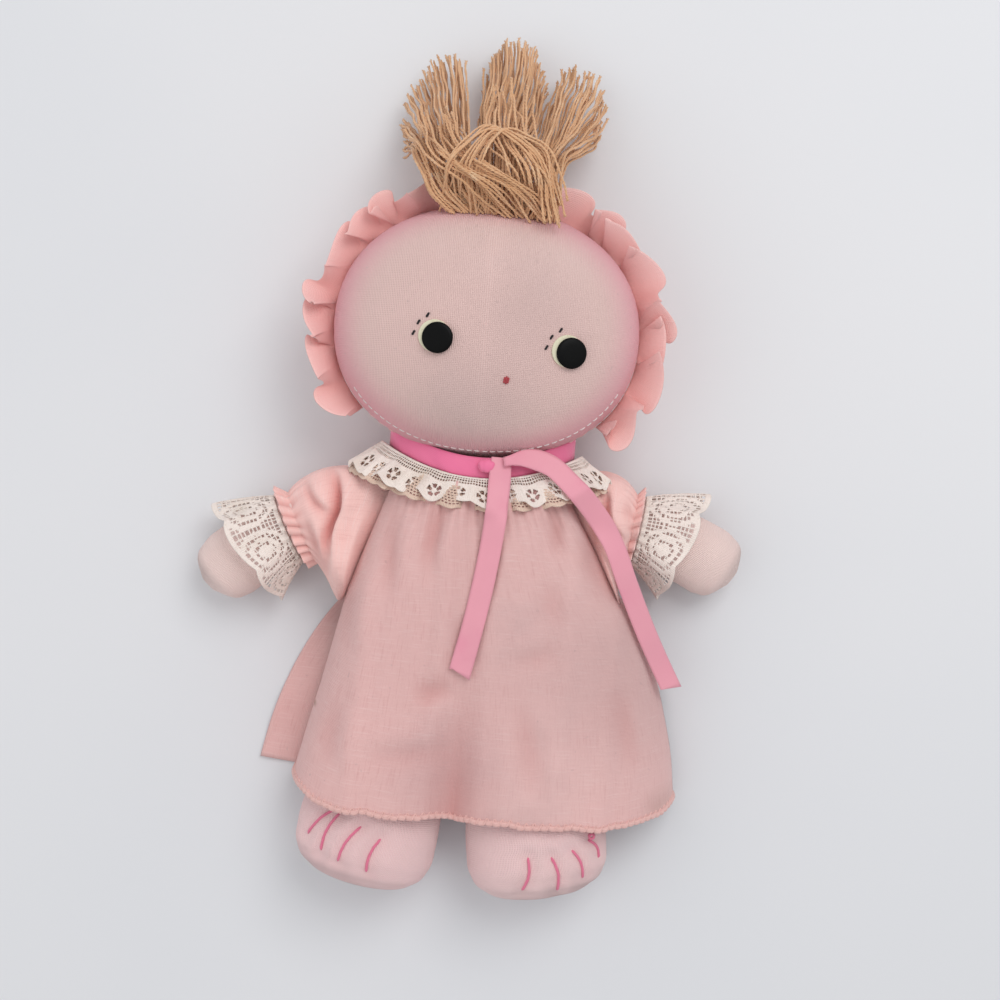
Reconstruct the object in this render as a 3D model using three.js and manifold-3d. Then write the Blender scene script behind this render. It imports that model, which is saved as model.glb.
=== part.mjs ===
// A soft rag doll lying on its back: stuffed knit head, torso, arms and legs, a bonnet frill,
// a yarn topknot, a gathered gown with raglan sleeves and lace, and a satin neck ribbon.
// Millimetres, +Z up out of the face, +Y towards the head, +X towards the doll's own left hand.
import * as THREE from 'three';
import { mergeVertices } from 'three/addons/utils/BufferGeometryUtils.js';
import Module from 'manifold-3d';

// Cloth, and the clearance between pieces that touch
const fabric = 1.0;
const gap = 0.3;
const settled = 0.5; // how far a stuffed form flattens where it lies on the floor

// Stuffed forms
const torso = { length: 102, width: 92, thickness: 54, topY: 12 };
const head = { width: 138, height: 113, depth: 76, seamZ: 41, centreX: -2, chinY: 19 };
const neck = { ballRadius: 15, radius: 12.5, baseY: 6, topY: 28, drop: 2 };
const arm = { width: 33, thickness: 27, seamTopY: 1, seamEndY: -22, seamEase: 2.7 };
const arms = {
  left: { elbowX: 82, elbowY: -2, tipX: 121.5, tipY: -28 },
  right: { elbowX: 85, elbowY: -8, tipX: 123.5, tipY: -50 },
};
const leg = { length: 85.5, width: 65, thickness: 51, hipX: 27, splay: 10, bow: 2 };
const hipSeam = { depth: 5, thickness: 3, endInset: 1 };

// Clothes
const gown = {
  topY: 7, backTopY: -5, hemY: -144, neckHalf: 38, neckRise: 41, seamX: 57, seamEndY: -46, seamRise: 24,
};
const skirt = { rightX: 77, leftX: 103, edgeRise: 3.4, crown: 58, valley: 12, cornerLift: 11 };
const pleat = { depth: 1.2, count: 7 };
const sleeve = { seamOffset: 2, topDrop: 3, endLift: 4, puff: 1, height: 41, cuffEase: 3.4 };
const cuffShare = { left: 0.4, right: 0.5 }; // where on the arm's route each sleeve ends
const elastic = { width: 4, thickness: 0.8 };
const cuffLace = { length: 24, flare: 9, ruffle: 1.6, ruffles: 10, thickness: 0.8 };
const collar = {
  halfWidth: 46, halfHeight: 24, flareX: 14, flareZ: 3.5, topY: 9, rise: 13.5, fall: 10, lift: 2,
};
const collarRuffle = { depth: 1.5, count: 18, thickness: 0.9 };
const frill = { width: 15, thickness: 1.8, wave: 4.2, lean: 2.6, folds: 20, openAngle: 91 };
const ribbon = {
  width: 10, loopWidth: 7, thickness: 0.6, halfWidth: 42.5, halfHeight: 22, rise: 8, lay: 1.2,
};
const knot = { width: 9, height: 7, depth: 4.5, x: 3, rise: 1.2 };
const hemThread = { radius: 1, sides: 6 };

// Face and small stitches
const eye = { radius: 6.5, dome: 2.2, whiteRadius: 7.4, whiteThickness: 1, spacing: 58, shift: 1.9 };
const face = { middleX: 6.6, eyeY: 67, tilt: -2, mouthDrop: 15, mouthShift: 2 };
const lash = { length: 1.4, radius: 0.5, count: 3, firstAngle: 118, spread: 27, reach: 11.2 };
const mouth = { length: 1.8, radius: 1 };
const toe = { radius: 0.8, points: 5, sides: 6, knotRadius: 1.9 };

// The yarn topknot
const hair = { rootWidth: 62, tipWidth: 92, rootY: 126, length: 92, thickness: 10, tipRise: 12 };

// Where the forms lie
const floorOverGown = fabric + gap;
const torsoZ = floorOverGown + torso.thickness / 2;
const neckZ = torsoZ - neck.drop;
const neckBandZ = torsoZ + collar.lift;
const hipY = torso.topY - torso.length;
const foldY = hipY - gap - hipSeam.thickness / 2; // the line on which the doll folds to sit
const legTopY = foldY - hipSeam.depth - gap * 2;
const headY = head.chinY + head.height / 2;
const faceRise = head.depth - head.seamZ - gap - settled;

// Stuffed forms from the sewn end to the far end, each row a place along the form, then its
// width, its thickness and how far its middle is lifted from lying flat to the sewn seam.
const torsoShares = [
  [0, 0.42, 0.62, 1], [0.06, 0.64, 0.76, 1], [0.13, 0.78, 0.85, 1], [0.22, 0.86, 0.93, 1],
  [0.33, 0.9, 0.98, 1], [0.48, 0.97, 1, 1], [0.64, 1, 0.98, 1], [0.79, 0.99, 0.86, 1],
  [0.88, 0.97, 0.66, 1], [0.96, 0.94, 0.3, 1], [1, 0.92, 0.07, 1],
];
const armShares = [
  [0, 0.72, 0.1, 1], [0.06, 0.74, 0.12, 0.98], [0.13, 0.78, 0.32, 0.88], [0.22, 0.84, 0.64, 0.7],
  [0.33, 0.88, 0.84, 0.48], [0.46, 0.92, 0.92, 0.32], [0.62, 0.97, 0.95, 0.2], [0.77, 1, 0.97, 0.1],
  [0.88, 0.97, 1, 0], [0.96, 0.72, 0.76, 0], [1, 0.28, 0.3, 0],
];
const legShares = [
  [0, 0.52, 0.08, 1], [0.09, 0.7, 0.31, 0.8], [0.23, 0.84, 0.6, 0.45], [0.4, 0.93, 0.82, 0.2],
  [0.57, 0.98, 0.93, 0.06], [0.73, 1, 1, 0], [0.85, 0.96, 0.96, 0], [0.93, 0.8, 0.8, 0],
  [0.98, 0.5, 0.5, 0], [1, 0.18, 0.18, 0],
];
// The head's front and back, from the seam to the middle: radius, then height from the seam.
const faceShares = [
  [1, 0], [0.985, 0.2], [0.94, 0.4], [0.85, 0.6], [0.7, 0.78], [0.5, 0.91], [0.27, 0.98], [0.1, 1],
];
const headBackShares = [
  [1, 0], [1.005, 0.2], [0.97, 0.44], [0.88, 0.68], [0.74, 0.86], [0.55, 0.97], [0.4, 1], [0.1, 1],
];
const headBoxShare = 0.93; // how nearly the head's outline is a plain oval
const sleeveBoxShare = 0.75; // and a sleeve's section
// The skirt below the armholes: share of the way down, how far its right and left edges have
// spread to the hem's corners, and how far they have come down to the floor.
const skirtShares = [
  [0, 0, 0, 0], [0.06, 0.06, 0.3, 0.3], [0.12, 0.13, 0.5, 0.55], [0.25, 0.27, 0.64, 0.8],
  [0.4, 0.42, 0.76, 0.94], [0.6, 0.62, 0.88, 1], [0.8, 0.82, 0.97, 1], [1, 1, 1, 1],
];
// Height of the gown's crown from neckline to hem, and how square its two shoulders fall.
const crownShares = [
  [0, 0.89], [0.055, 0.935], [0.12, 0.972], [0.2, 0.995], [0.3, 1], [0.42, 1], [0.5, 0.985],
  [0.62, 0.96], [0.75, 0.95], [1, 0.95],
];
const valleyStartShare = 0.583;
const crownPower = { top: 3, right: 8, left: 2.4 };
// The gown's back: where its sides swing out and its hem's corners and middle lie, as shares of
// the hem's left corner.
const backHemShares = { sideX: 0.84, sideY: 0.55, cornerX: 0.92, cornerY: 0.91, middleY: 0.99 };
// How far each part of the topknot reaches, from its right edge to its left.
const hairTipShares = [0.5, 0.54, 0.84, 0.9, 0.83, 0.52, 0.93, 1, 0.95, 0.75, 0.93, 0.96, 0.8];
// The topknot from its root to its tips: place along it, spread, height and thickness.
const hairShares = [
  [0, 0, 1, 0.8], [0.12, 0.06, 1, 1], [0.28, 0.2, 0.86, 1.15], [0.5, 0.5, 0.57, 1.1],
  [0.75, 0.8, 0.27, 0.95], [1, 1, 0, 0.55],
];
const hairEdgeShare = 0.3; // thickness of the topknot at its sides
// Ends of each toe stitch: across the foot and along the leg, at its front and at its back.
const toeShares = {
  left: [[-0.23, 0.91, -0.13, 0.73], [0.26, 0.93, 0.19, 0.735], [0.62, 0.88, 0.48, 0.71],
    [0.86, 0.785, 0.72, 0.67]],
  right: [[-0.12, 0.88, -0.23, 0.69], [0.3, 0.86, 0.07, 0.645], [0.56, 0.83, 0.4, 0.6],
    [0.8, 0.77, 0.42, 0.57]],
};
// Places on the two ribbon tails, across and down, as shares of the skirt's left corner.
const tailShares = {
  middle: [[0.07, -0.05], [0.066, 0.06], [0.058, 0.19], [0.036, 0.31], [0.002, 0.43], [-0.04, 0.545]],
  left: [[0.1, -0.06], [0.2, -0.085], [0.3, -0.06], [0.42, 0], [0.53, 0.09], [0.6, 0.17],
    [0.68, 0.29], [0.77, 0.42], [0.915, 0.56]],
};

const wasm = await Module();
wasm.setup();

const vec = (x, y, z) => new THREE.Vector3(x, y, z);
const mix = THREE.MathUtils.lerp;
const radians = THREE.MathUtils.degToRad;
const turn = 2 * Math.PI;
const bend = (value, power) => Math.sign(value) * Math.abs(value) ** power;

// A geometry of shared points and triangles, turned so that its faces point outwards.
function closedGeometry(points, triangles) {
  let volume = 0;
  for (const [a, b, c] of triangles) {
    volume += points[a].dot(vec(0, 0, 0).crossVectors(points[b], points[c]));
  }
  const faces = volume < 0 ? triangles.map(([a, b, c]) => [a, c, b]) : triangles;
  const geometry = new THREE.BufferGeometry().setFromPoints(points);
  geometry.setIndex(faces.flat());
  return geometry;
}

// A skin over rings of points with the same count, each end closed to its middle.
function loft(rings) {
  const sides = rings[0].length;
  const points = rings.flat();
  const triangles = [];
  for (let r = 0; r + 1 < rings.length; r++) {
    for (let i = 0; i < sides; i++) {
      const a = r * sides + i;
      const b = r * sides + ((i + 1) % sides);
      triangles.push([a, b, b + sides], [a, b + sides, a + sides]);
    }
  }
  for (const [first, isStart] of [[0, true], [(rings.length - 1) * sides, false]]) {
    const middle = vec(0, 0, 0);
    for (let i = 0; i < sides; i++) middle.addScaledVector(points[first + i], 1 / sides);
    const tip = points.push(middle) - 1;
    for (let i = 0; i < sides; i++) {
      const [a, b] = [first + i, first + ((i + 1) % sides)];
      triangles.push(isStart ? [tip, b, a] : [tip, a, b]);
    }
  }
  return closedGeometry(points, triangles);
}

// A cloth shell between two grids of points, open or running round in a loop.
function shell(outer, inner, isLoop = false) {
  const [rows, columns] = [outer.length, outer[0].length];
  const points = [...outer.flat(), ...inner.flat()];
  const below = rows * columns;
  const triangles = [];
  const quad = (a, b, c, d) => triangles.push([a, b, c], [a, c, d]);
  const last = isLoop ? columns : columns - 1;
  for (let i = 0; i < last; i++) {
    const j = (i + 1) % columns;
    for (let r = 0; r + 1 < rows; r++) {
      const [low, high] = [r * columns, (r + 1) * columns];
      quad(low + i, low + j, high + j, high + i);
      quad(below + high + i, below + high + j, below + low + j, below + low + i);
    }
    const end = (rows - 1) * columns;
    quad(j, i, below + i, below + j);
    quad(end + i, end + j, below + end + j, below + end + i);
  }
  for (let r = 0; r + 1 < rows && !isLoop; r++) {
    const [a, b] = [r * columns, (r + 1) * columns];
    const [c, d] = [a + columns - 1, b + columns - 1];
    quad(a, b, below + b, below + a);
    quad(d, c, below + c, below + d);
  }
  return closedGeometry(points, triangles);
}

// A sheet of a given thickness whose middle follows a grid of points.
function sheet(grid, thickness, isLoop = false) {
  const [rows, columns] = [grid.length, grid[0].length];
  const at = (r, i) => {
    const row = grid[Math.min(rows - 1, Math.max(0, r))];
    return row[isLoop ? (i + columns) % columns : Math.min(columns - 1, Math.max(0, i))];
  };
  const side = (sign) => grid.map((row, r) => row.map((p, i) => {
    const across = at(r, i + 1).clone().sub(at(r, i - 1));
    const along = at(r + 1, i).clone().sub(at(r - 1, i));
    const normal = across.cross(along).normalize();
    return p.clone().addScaledVector(normal, (sign * thickness) / 2);
  }));
  return shell(side(1), side(-1), isLoop);
}

// A round thread along a smooth curve through points.
function thread(points, radius, sides) {
  const section = new THREE.Shape();
  section.absarc(0, 0, radius, 0, turn, false);
  const extrudePath = new THREE.CatmullRomCurve3(points);
  return new THREE.ExtrudeGeometry(section, { steps: points.length, extrudePath, curveSegments: sides / 2 });
}

function toSolid(geometry) {
  const bare = geometry.clone();
  bare.deleteAttribute('normal');
  bare.deleteAttribute('uv');
  const merged = mergeVertices(bare);
  const corners = Array.from({ length: merged.index.count / 3 }, (_, i) => (
    [0, 1, 2].map((n) => merged.index.getX(i * 3 + n))
  ));
  const kept = corners.filter(([a, b, c]) => a !== b && b !== c && c !== a);
  return new wasm.Manifold(new wasm.Mesh({
    numProp: 3,
    vertProperties: merged.attributes.position.array,
    triVerts: new Uint32Array(kept.flat()),
  }));
}

function fromSolid(solid) {
  const mesh = solid.getMesh();
  const geometry = new THREE.BufferGeometry();
  geometry.setAttribute('position', new THREE.BufferAttribute(mesh.vertProperties, 3));
  geometry.setIndex(new THREE.BufferAttribute(mesh.triVerts, 1));
  return geometry;
}

const cut = (geometry, tool) => fromSolid(toSolid(geometry).subtract(toSolid(tool)));

function material(color, roughness = 0.9) {
  return new THREE.MeshStandardMaterial({ color, roughness, metalness: 0 });
}

const knit = material('#f0c6c4');
const woven = material('#eeb4ae');
const bonnetCloth = material('#f0a79f');
const lace = material('#efe6dc');
const satin = material('#e884a4', 0.45);
const yarn = material('#dcb48c');
const filling = material('#f7f5f0');
const flock = material('#0c0a0a', 0.95);
const felt = material('#e9e2cf');
const darkThread = material('#1d1618');
const redThread = material('#b2464f');
const toeThread = material('#dc5484', 0.6);
const overlock = material('#f2ae9d');
const tape = material('#f4f0ea');

const doll = new THREE.Group();

function add(name, geometry, look) {
  const mesh = new THREE.Mesh(geometry, look);
  mesh.name = name;
  doll.add(mesh);
  return mesh;
}

// A row of a table of shares at a place along it, straight between its written rows.
function rowAt(table, along) {
  const next = table.findIndex((row) => row[0] >= along);
  if (next <= 0) return table[next < 0 ? table.length - 1 : 0];
  const [a, b] = [table[next - 1], table[next]];
  const share = (along - a[0]) / (b[0] - a[0]);
  return a.map((value, i) => mix(value, b[i], share));
}

// Where a place on the plan meets the solids below it, and which way they face there.
function dropOn(meshes, x, y) {
  const from = vec(x, y, head.depth * 2);
  const [hit] = new THREE.Raycaster(from, vec(0, 0, -1)).intersectObjects(meshes);
  return hit ? { point: hit.point, normal: hit.face.normal } : { point: vec(x, y, 0), normal: vec(0, 0, 1) };
}

// Height of the highest thing under a small round place on the plan.
function topUnder(meshes, x, y, radius) {
  const spots = [[0, 0], [1, 0], [-1, 0], [0, 1], [0, -1]];
  return Math.max(...spots.map(([across, up]) => dropOn(meshes, x + across * radius, y + up * radius).point.z));
}

// One ring of a form: its middle, the direction across it, half its width and half its height.
function ring(middle, across, halfWidth, halfHeight, sides, lowest, roundShare = 1) {
  return Array.from({ length: sides }, (_, i) => {
    const angle = (turn * i) / sides;
    const point = middle.clone().addScaledVector(across, halfWidth * bend(Math.cos(angle), roundShare));
    return point.setZ(Math.max(lowest, middle.z + halfHeight * bend(Math.sin(angle), roundShare)));
  });
}

// Rings of a stuffed form whose route gives a middle and a direction at each place along it.
function stuffedRings(table, size, route, inset) {
  const end = (size.length - inset) / size.length;
  return table.map(([along, width, thickness, lift]) => {
    const { middle, across } = route(Math.min(along, end));
    const z = mix(size.lowest - settled + size.thickness / 2, torsoZ, lift);
    const halfHeight = Math.max((thickness * size.thickness) / 2 - inset, gap);
    const halfWidth = (width * size.width) / 2 - inset;
    return ring(middle.setZ(z), across, halfWidth, halfHeight, size.sides, size.lowest + inset);
  });
}

// A limb's skin, open where it is sewn on, and the stuffing that fills it.
function addLimb(name, table, size, route) {
  const outer = stuffedRings(table, size, route, 0);
  const inner = stuffedRings(table, size, route, fabric);
  const fill = stuffedRings(table, { ...size, sides: size.sides / 2 }, route, fabric + gap * 2);
  const skin = add(`${name}_skin`, loft([...outer.toReversed(), ...inner]), knit);
  add(`${name}_stuffing`, loft(fill.slice(1)), filling);
  return skin;
}

const halfTorso = (y) => (rowAt(torsoShares, (torso.topY - y) / torso.length)[1] * torso.width) / 2;

// One side of the torso: half rings from neck to hips, in front of or behind its side seam.
function torsoGrid(side, inset) {
  const steps = 12;
  return torsoShares.map(([along, width, thickness]) => {
    const halfWidth = (width * torso.width) / 2 - inset;
    const halfThickness = Math.max((thickness * torso.thickness) / 2 - inset, gap);
    const y = torso.topY - Math.min(Math.max(along * torso.length, inset), torso.length - inset);
    return Array.from({ length: steps + 1 }, (_, i) => {
      const angle = (Math.PI * i) / steps;
      const rise = side * (gap / 2 + halfThickness * Math.sin(angle));
      return vec(halfWidth * Math.cos(angle), y, torsoZ + rise);
    });
  });
}

function addTorso() {
  const socket = new THREE.SphereGeometry(neck.ballRadius + gap * 2, 20, 14);
  socket.translate(0, neck.baseY, neckZ);
  for (const [name, side] of [['torso_front_panel', 1], ['torso_back_panel', -1]]) {
    add(name, cut(shell(torsoGrid(side, 0), torsoGrid(side, fabric)), socket), knit);
  }
  const [front, back] = [1, -1].map((side) => torsoGrid(side, fabric + gap * 4));
  const fill = loft(front.map((row, r) => [...row, ...back[r].slice(1, -1).toReversed()]));
  add('torso_stuffing', cut(fill, socket), filling);
}

// The flat strip of seam that both legs hang from, rounded on the line where it folds.
function addHipSeam() {
  const width = torso.width * torsoShares.at(-1)[1] - 2 * hipSeam.endInset;
  const radius = hipSeam.thickness / 2;
  const strip = new THREE.Shape();
  strip.moveTo(-hipSeam.depth, radius);
  strip.lineTo(-hipSeam.depth, -radius);
  strip.lineTo(0, -radius);
  strip.absarc(0, 0, radius, -Math.PI / 2, Math.PI / 2, false);
  const geometry = new THREE.ExtrudeGeometry(strip, { depth: width, bevelEnabled: false, curveSegments: 6 });
  geometry.applyMatrix4(new THREE.Matrix4().makeBasis(vec(0, 1, 0), vec(0, 0, 1), vec(1, 0, 0)));
  add('hip_seam', geometry.translate(-width / 2, foldY, torsoZ), knit);
}

// The neck: a round foot in the top of the torso and a short stem into the head.
function addNeck() {
  const waist = Math.asin(neck.radius / neck.ballRadius);
  const steps = 8;
  const foot = Array.from({ length: steps }, (_, i) => mix(Math.PI, waist, (i + 1) / steps));
  const stem = neck.topY - neck.baseY;
  const profile = [
    [0, -neck.ballRadius],
    ...foot.map((angle) => [neck.ballRadius * Math.sin(angle), neck.ballRadius * Math.cos(angle)]),
    [neck.radius, stem],
    [0, stem],
  ];
  const geometry = new THREE.LatheGeometry(profile.map(([x, y]) => new THREE.Vector2(x, y)), 20);
  add('neck', geometry.translate(0, neck.baseY, neckZ), knit);
}

// The route of an arm from the side seam out to the hand, curving down past the elbow.
function armRoute(side) {
  const { elbowX, elbowY, tipX, tipY } = arms[side > 0 ? 'left' : 'right'];
  const [top, end] = [arm.seamTopY, arm.seamEndY].map((y) => vec(side * halfTorso(y), y, 0));
  const seam = top.clone().sub(end).normalize();
  const outwards = vec(side * seam.y, -side * seam.x, 0);
  const root = top.add(end).multiplyScalar(1 / 2).addScaledVector(outwards, arm.seamEase);
  const curve = new THREE.QuadraticBezierCurve3(root, vec(side * elbowX, elbowY, 0), vec(side * tipX, tipY, 0));
  const straightShare = 0.3;
  return {
    length: curve.getLength(),
    at: (share) => {
      const tangent = curve.getTangentAt(share);
      const square = vec(-side * tangent.y, side * tangent.x, 0);
      const across = seam.clone().lerp(square, Math.min(1, share / straightShare)).normalize();
      return { middle: curve.getPointAt(share), across };
    },
  };
}

// The route of a leg from the hip seam out to the toes, turned a little outwards.
function legRoute(side) {
  const along = vec(side * Math.sin(radians(leg.splay)), -Math.cos(radians(leg.splay)), 0);
  const square = vec(-side * along.y, side * along.x, 0);
  const hip = vec(side * leg.hipX, legTopY, 0);
  return (share) => ({
    middle: hip.clone().addScaledVector(along, share * leg.length)
      .addScaledVector(square, leg.bow * Math.sin(Math.PI * share)),
    across: vec(side, 0, 0).lerp(square, share).normalize(),
  });
}

// Half the arm's width and height, and the height of its middle, at a place along its route.
function armAt(share) {
  const [, width, thickness, lift] = rowAt(armShares, share);
  const z = mix(floorOverGown - settled + arm.thickness / 2, torsoZ, lift);
  return { halfWidth: (width * arm.width) / 2, halfHeight: (thickness * arm.thickness) / 2, z };
}

// Rings of a gathered sleeve, from its seam on the gown to its cuff round the arm.
function sleeveRings(side, route, inset) {
  const [steps, sides] = [6, 20];
  const share = cuffShare[side > 0 ? 'left' : 'right'];
  const cuff = route.at(share);
  const wrist = armAt(share);
  const top = vec(side * (gown.neckHalf + sleeve.seamOffset), gown.topY - sleeve.topDrop, 0);
  const end = vec(side * (gown.seamX + sleeve.seamOffset), gown.seamEndY + sleeve.endLift, 0);
  const seamAcross = top.clone().sub(end).normalize();
  const seamMiddle = top.clone().add(end).multiplyScalar(1 / 2);
  const rootHalf = top.distanceTo(end) / 2;
  const lowest = floorOverGown + inset;
  return Array.from({ length: steps + 1 }, (_, i) => {
    const way = i / steps;
    const gather = way ** 3;
    const middle = seamMiddle.clone().lerp(cuff.middle, way);
    const across = seamAcross.clone().lerp(cuff.across, way).normalize();
    const halfWidth = mix(rootHalf, wrist.halfWidth + sleeve.cuffEase, gather)
      + sleeve.puff * Math.sin(Math.PI * way) ** 2;
    const halfHeight = mix(sleeve.height / 2, wrist.halfHeight + sleeve.cuffEase, gather);
    const cuffZ = Math.max(wrist.z, halfHeight + floorOverGown);
    const z = mix(floorOverGown + sleeve.height / 2, cuffZ, gather);
    return ring(middle.setZ(z), across, halfWidth - inset, halfHeight - inset, sides, lowest, sleeveBoxShare);
  });
}

// A band of tape or gathered lace round an arm, from one place on its route outwards.
function bandRound(route, share, band) {
  const { flare = 0, ruffle = 0, ruffles = 5 } = band;
  const [rows, columns] = [flare ? 3 : 2, ruffles * 4];
  const clearance = band.thickness / 2 + gap;
  const start = armAt(share);
  const grid = Array.from({ length: rows }, (_, r) => {
    const way = r / (rows - 1);
    const place = share + (way * band.length) / route.length;
    const { middle, across } = route.at(place);
    const here = armAt(place);
    const halfWidth = Math.max(start.halfWidth, here.halfWidth) + clearance;
    const halfHeight = Math.max(start.halfHeight, here.halfHeight) + clearance;
    return Array.from({ length: columns }, (_, i) => {
      const angle = (turn * i) / columns;
      const grow = way * (flare + ruffle * Math.sin(ruffles * angle));
      const point = middle.clone().addScaledVector(across, (halfWidth + grow) * Math.cos(angle));
      return point.setZ(Math.max(here.z + (halfHeight + grow) * Math.sin(angle), band.thickness / 2));
    });
  });
  return sheet(grid, band.thickness, true);
}

function addArm(name, side) {
  const route = armRoute(side);
  const size = { ...arm, length: route.length, lowest: floorOverGown, sides: 14 };
  addLimb(`${name}_arm`, armShares, size, route.at);
  const sleeveCloth = shell(sleeveRings(side, route, 0), sleeveRings(side, route, fabric), true);
  add(`${name}_sleeve`, sleeveCloth, woven);
  const tapeShare = elastic.width / route.length;
  const tapeBand = { ...elastic, length: elastic.width };
  add(`${name}_cuff_elastic`, bandRound(route, cuffShare[name] - tapeShare * 1.5, tapeBand), tape);
  add(`${name}_cuff_lace`, bandRound(route, cuffShare[name] + tapeShare / 4, cuffLace), lace);
}

function addLeg(name, side) {
  const route = legRoute(side);
  const skin = addLimb(`${name}_leg`, legShares, { ...leg, lowest: floorOverGown, sides: 16 }, route);
  const onFoot = (across, along, rise) => {
    const spot = route(along);
    spot.middle.addScaledVector(spot.across, (across * leg.width) / 2);
    const { point, normal } = dropOn([skin], spot.middle.x, spot.middle.y);
    return point.clone().addScaledVector(normal, rise);
  };
  toeShares[name].forEach(([frontAcross, frontAlong, backAcross, backAlong], i) => {
    const points = Array.from({ length: toe.points }, (_, n) => {
      const way = n / (toe.points - 1);
      return onFoot(mix(frontAcross, backAcross, way), mix(frontAlong, backAlong, way), toe.radius + gap * 2);
    });
    add(`${name}_toe_stitch_${i + 1}`, thread(points, toe.radius, toe.sides), toeThread);
  });
  if (name === 'left') {
    const [, , across, along] = toeShares.left.at(-1);
    const spot = onFoot(across, along - (toe.knotRadius + gap) / leg.length, toe.knotRadius + gap);
    add('left_toe_knot', new THREE.SphereGeometry(toe.knotRadius, 8, 6).translate(...spot), toeThread);
  }
}

// The gown's edge at a height on the plan: along the armhole, then down the side of the skirt.
function gownEdge(y, side) {
  const armhole = Math.min(1, (gown.topY - y) / (gown.topY - gown.seamEndY));
  const corner = side > 0 ? skirt.leftX : skirt.rightX;
  const down = Math.max(0, (gown.seamEndY - y) / (gown.seamEndY - gown.hemY));
  const [, right, left, fall] = rowAt(skirtShares, down);
  const x = mix(mix(gown.neckHalf, gown.seamX, armhole), corner, side > 0 ? left : right);
  const z = mix(mix(gown.neckRise, gown.seamRise, armhole), skirt.edgeRise, fall);
  return vec(side * x, y, z);
}

// The gown's front: its crown over the body, its sides down to the floor, and its pleats.
function addGownFront() {
  const [rows, columns] = [14, 28];
  const grid = Array.from({ length: rows + 1 }, (_, r) => {
    const down = r / rows;
    const y = mix(gown.topY, gown.hemY, down);
    const [right, left] = [gownEdge(y, -1), gownEdge(y, 1)];
    const crown = skirt.crown * rowAt(crownShares, down)[1];
    const valleyDepth = skirt.valley * Math.max(0, (down - valleyStartShare) / (1 - valleyStartShare));
    return Array.from({ length: columns + 1 }, (_, i) => {
      const across = (2 * i) / columns - 1;
      const power = mix(crownPower.top, across < 0 ? crownPower.right : crownPower.left, down);
      const dome = Math.sqrt(1 - Math.abs(across) ** power);
      const point = right.clone().lerp(left, i / columns);
      const valley = valleyDepth * Math.max(0, 1 - Math.abs(point.x) / leg.hipX) ** 2;
      const fold = pleat.depth * (1 - down) * dome * Math.sin((turn * pleat.count * i) / columns);
      const lift = skirt.cornerLift * down ** 2 * Math.abs(across) ** 6;
      return point.add(vec(0, lift, (crown - point.z) * dome - valley + fold));
    });
  });
  add('gown_front', sheet(grid, fabric), woven);
  const drop = vec(0, -hemThread.radius - gap * 2, 0);
  const seam = grid.at(-1).filter((_, i) => i % 2 === 0).map((p) => p.clone().add(drop));
  add('hem_overlock', thread(seam, hemThread.radius, hemThread.sides), overlock);
}

// The gown's back, flat on the floor under the body.
function addGownBack() {
  const { cornerX, cornerY, middleY, sideY, sideX } = backHemShares;
  const [hemX, hemEndY] = [skirt.leftX * cornerX, gown.hemY * cornerY];
  const [swingX, swingY] = [skirt.leftX * sideX, gown.hemY * sideY];
  const outline = new THREE.Shape();
  outline.moveTo(-gown.neckHalf, gown.backTopY);
  outline.lineTo(-gown.seamX, gown.seamEndY);
  outline.quadraticCurveTo(-swingX, swingY, -hemX, hemEndY);
  outline.quadraticCurveTo(0, gown.hemY * middleY, hemX, hemEndY);
  outline.quadraticCurveTo(swingX, swingY, gown.seamX, gown.seamEndY);
  outline.lineTo(gown.neckHalf, gown.backTopY);
  add('gown_back', new THREE.ExtrudeGeometry(outline, { depth: fabric, bevelEnabled: false }), woven);
}

// A band round the neck, from its upper edge outwards and down.
function neckBand(band, rows, columns) {
  return Array.from({ length: rows }, (_, r) => Array.from({ length: columns }, (_, i) => {
    const angle = (turn * i) / columns;
    const way = r / (rows - 1);
    const wave = band.ruffle * way * Math.sin(collarRuffle.count * angle);
    const x = (band.halfWidth + band.flareX * way) * Math.cos(angle);
    const z = (band.halfHeight + band.flareZ * way + wave) * Math.sin(angle);
    return vec(x, band.topY + band.rise * Math.cos(angle) ** 2 - band.fall * way, neckBandZ + z);
  }));
}

function addCollar() {
  const band = { ...collar, ruffle: collarRuffle.depth };
  const grid = neckBand(band, 3, collarRuffle.count * 4);
  add('neck_lace', sheet(grid, collarRuffle.thickness, true), lace);
}

function addRibbonLoop() {
  const topY = collar.topY + ribbon.loopWidth - gap;
  const band = { ...ribbon, topY, flareX: 0, flareZ: 0, ruffle: 0, fall: ribbon.loopWidth };
  add('neck_ribbon', sheet(neckBand(band, 2, 40), ribbon.thickness, true), satin);
  const y = topY - ribbon.loopWidth / 2 + knot.rise;
  const z = neckBandZ + ribbon.halfHeight + ribbon.thickness / 2 + knot.depth / 2 + gap;
  const lump = new THREE.SphereGeometry(1, 12, 8).scale(knot.width / 2, knot.height / 2, knot.depth / 2);
  add('ribbon_knot', lump.translate(knot.x, y, z), satin);
}

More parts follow.
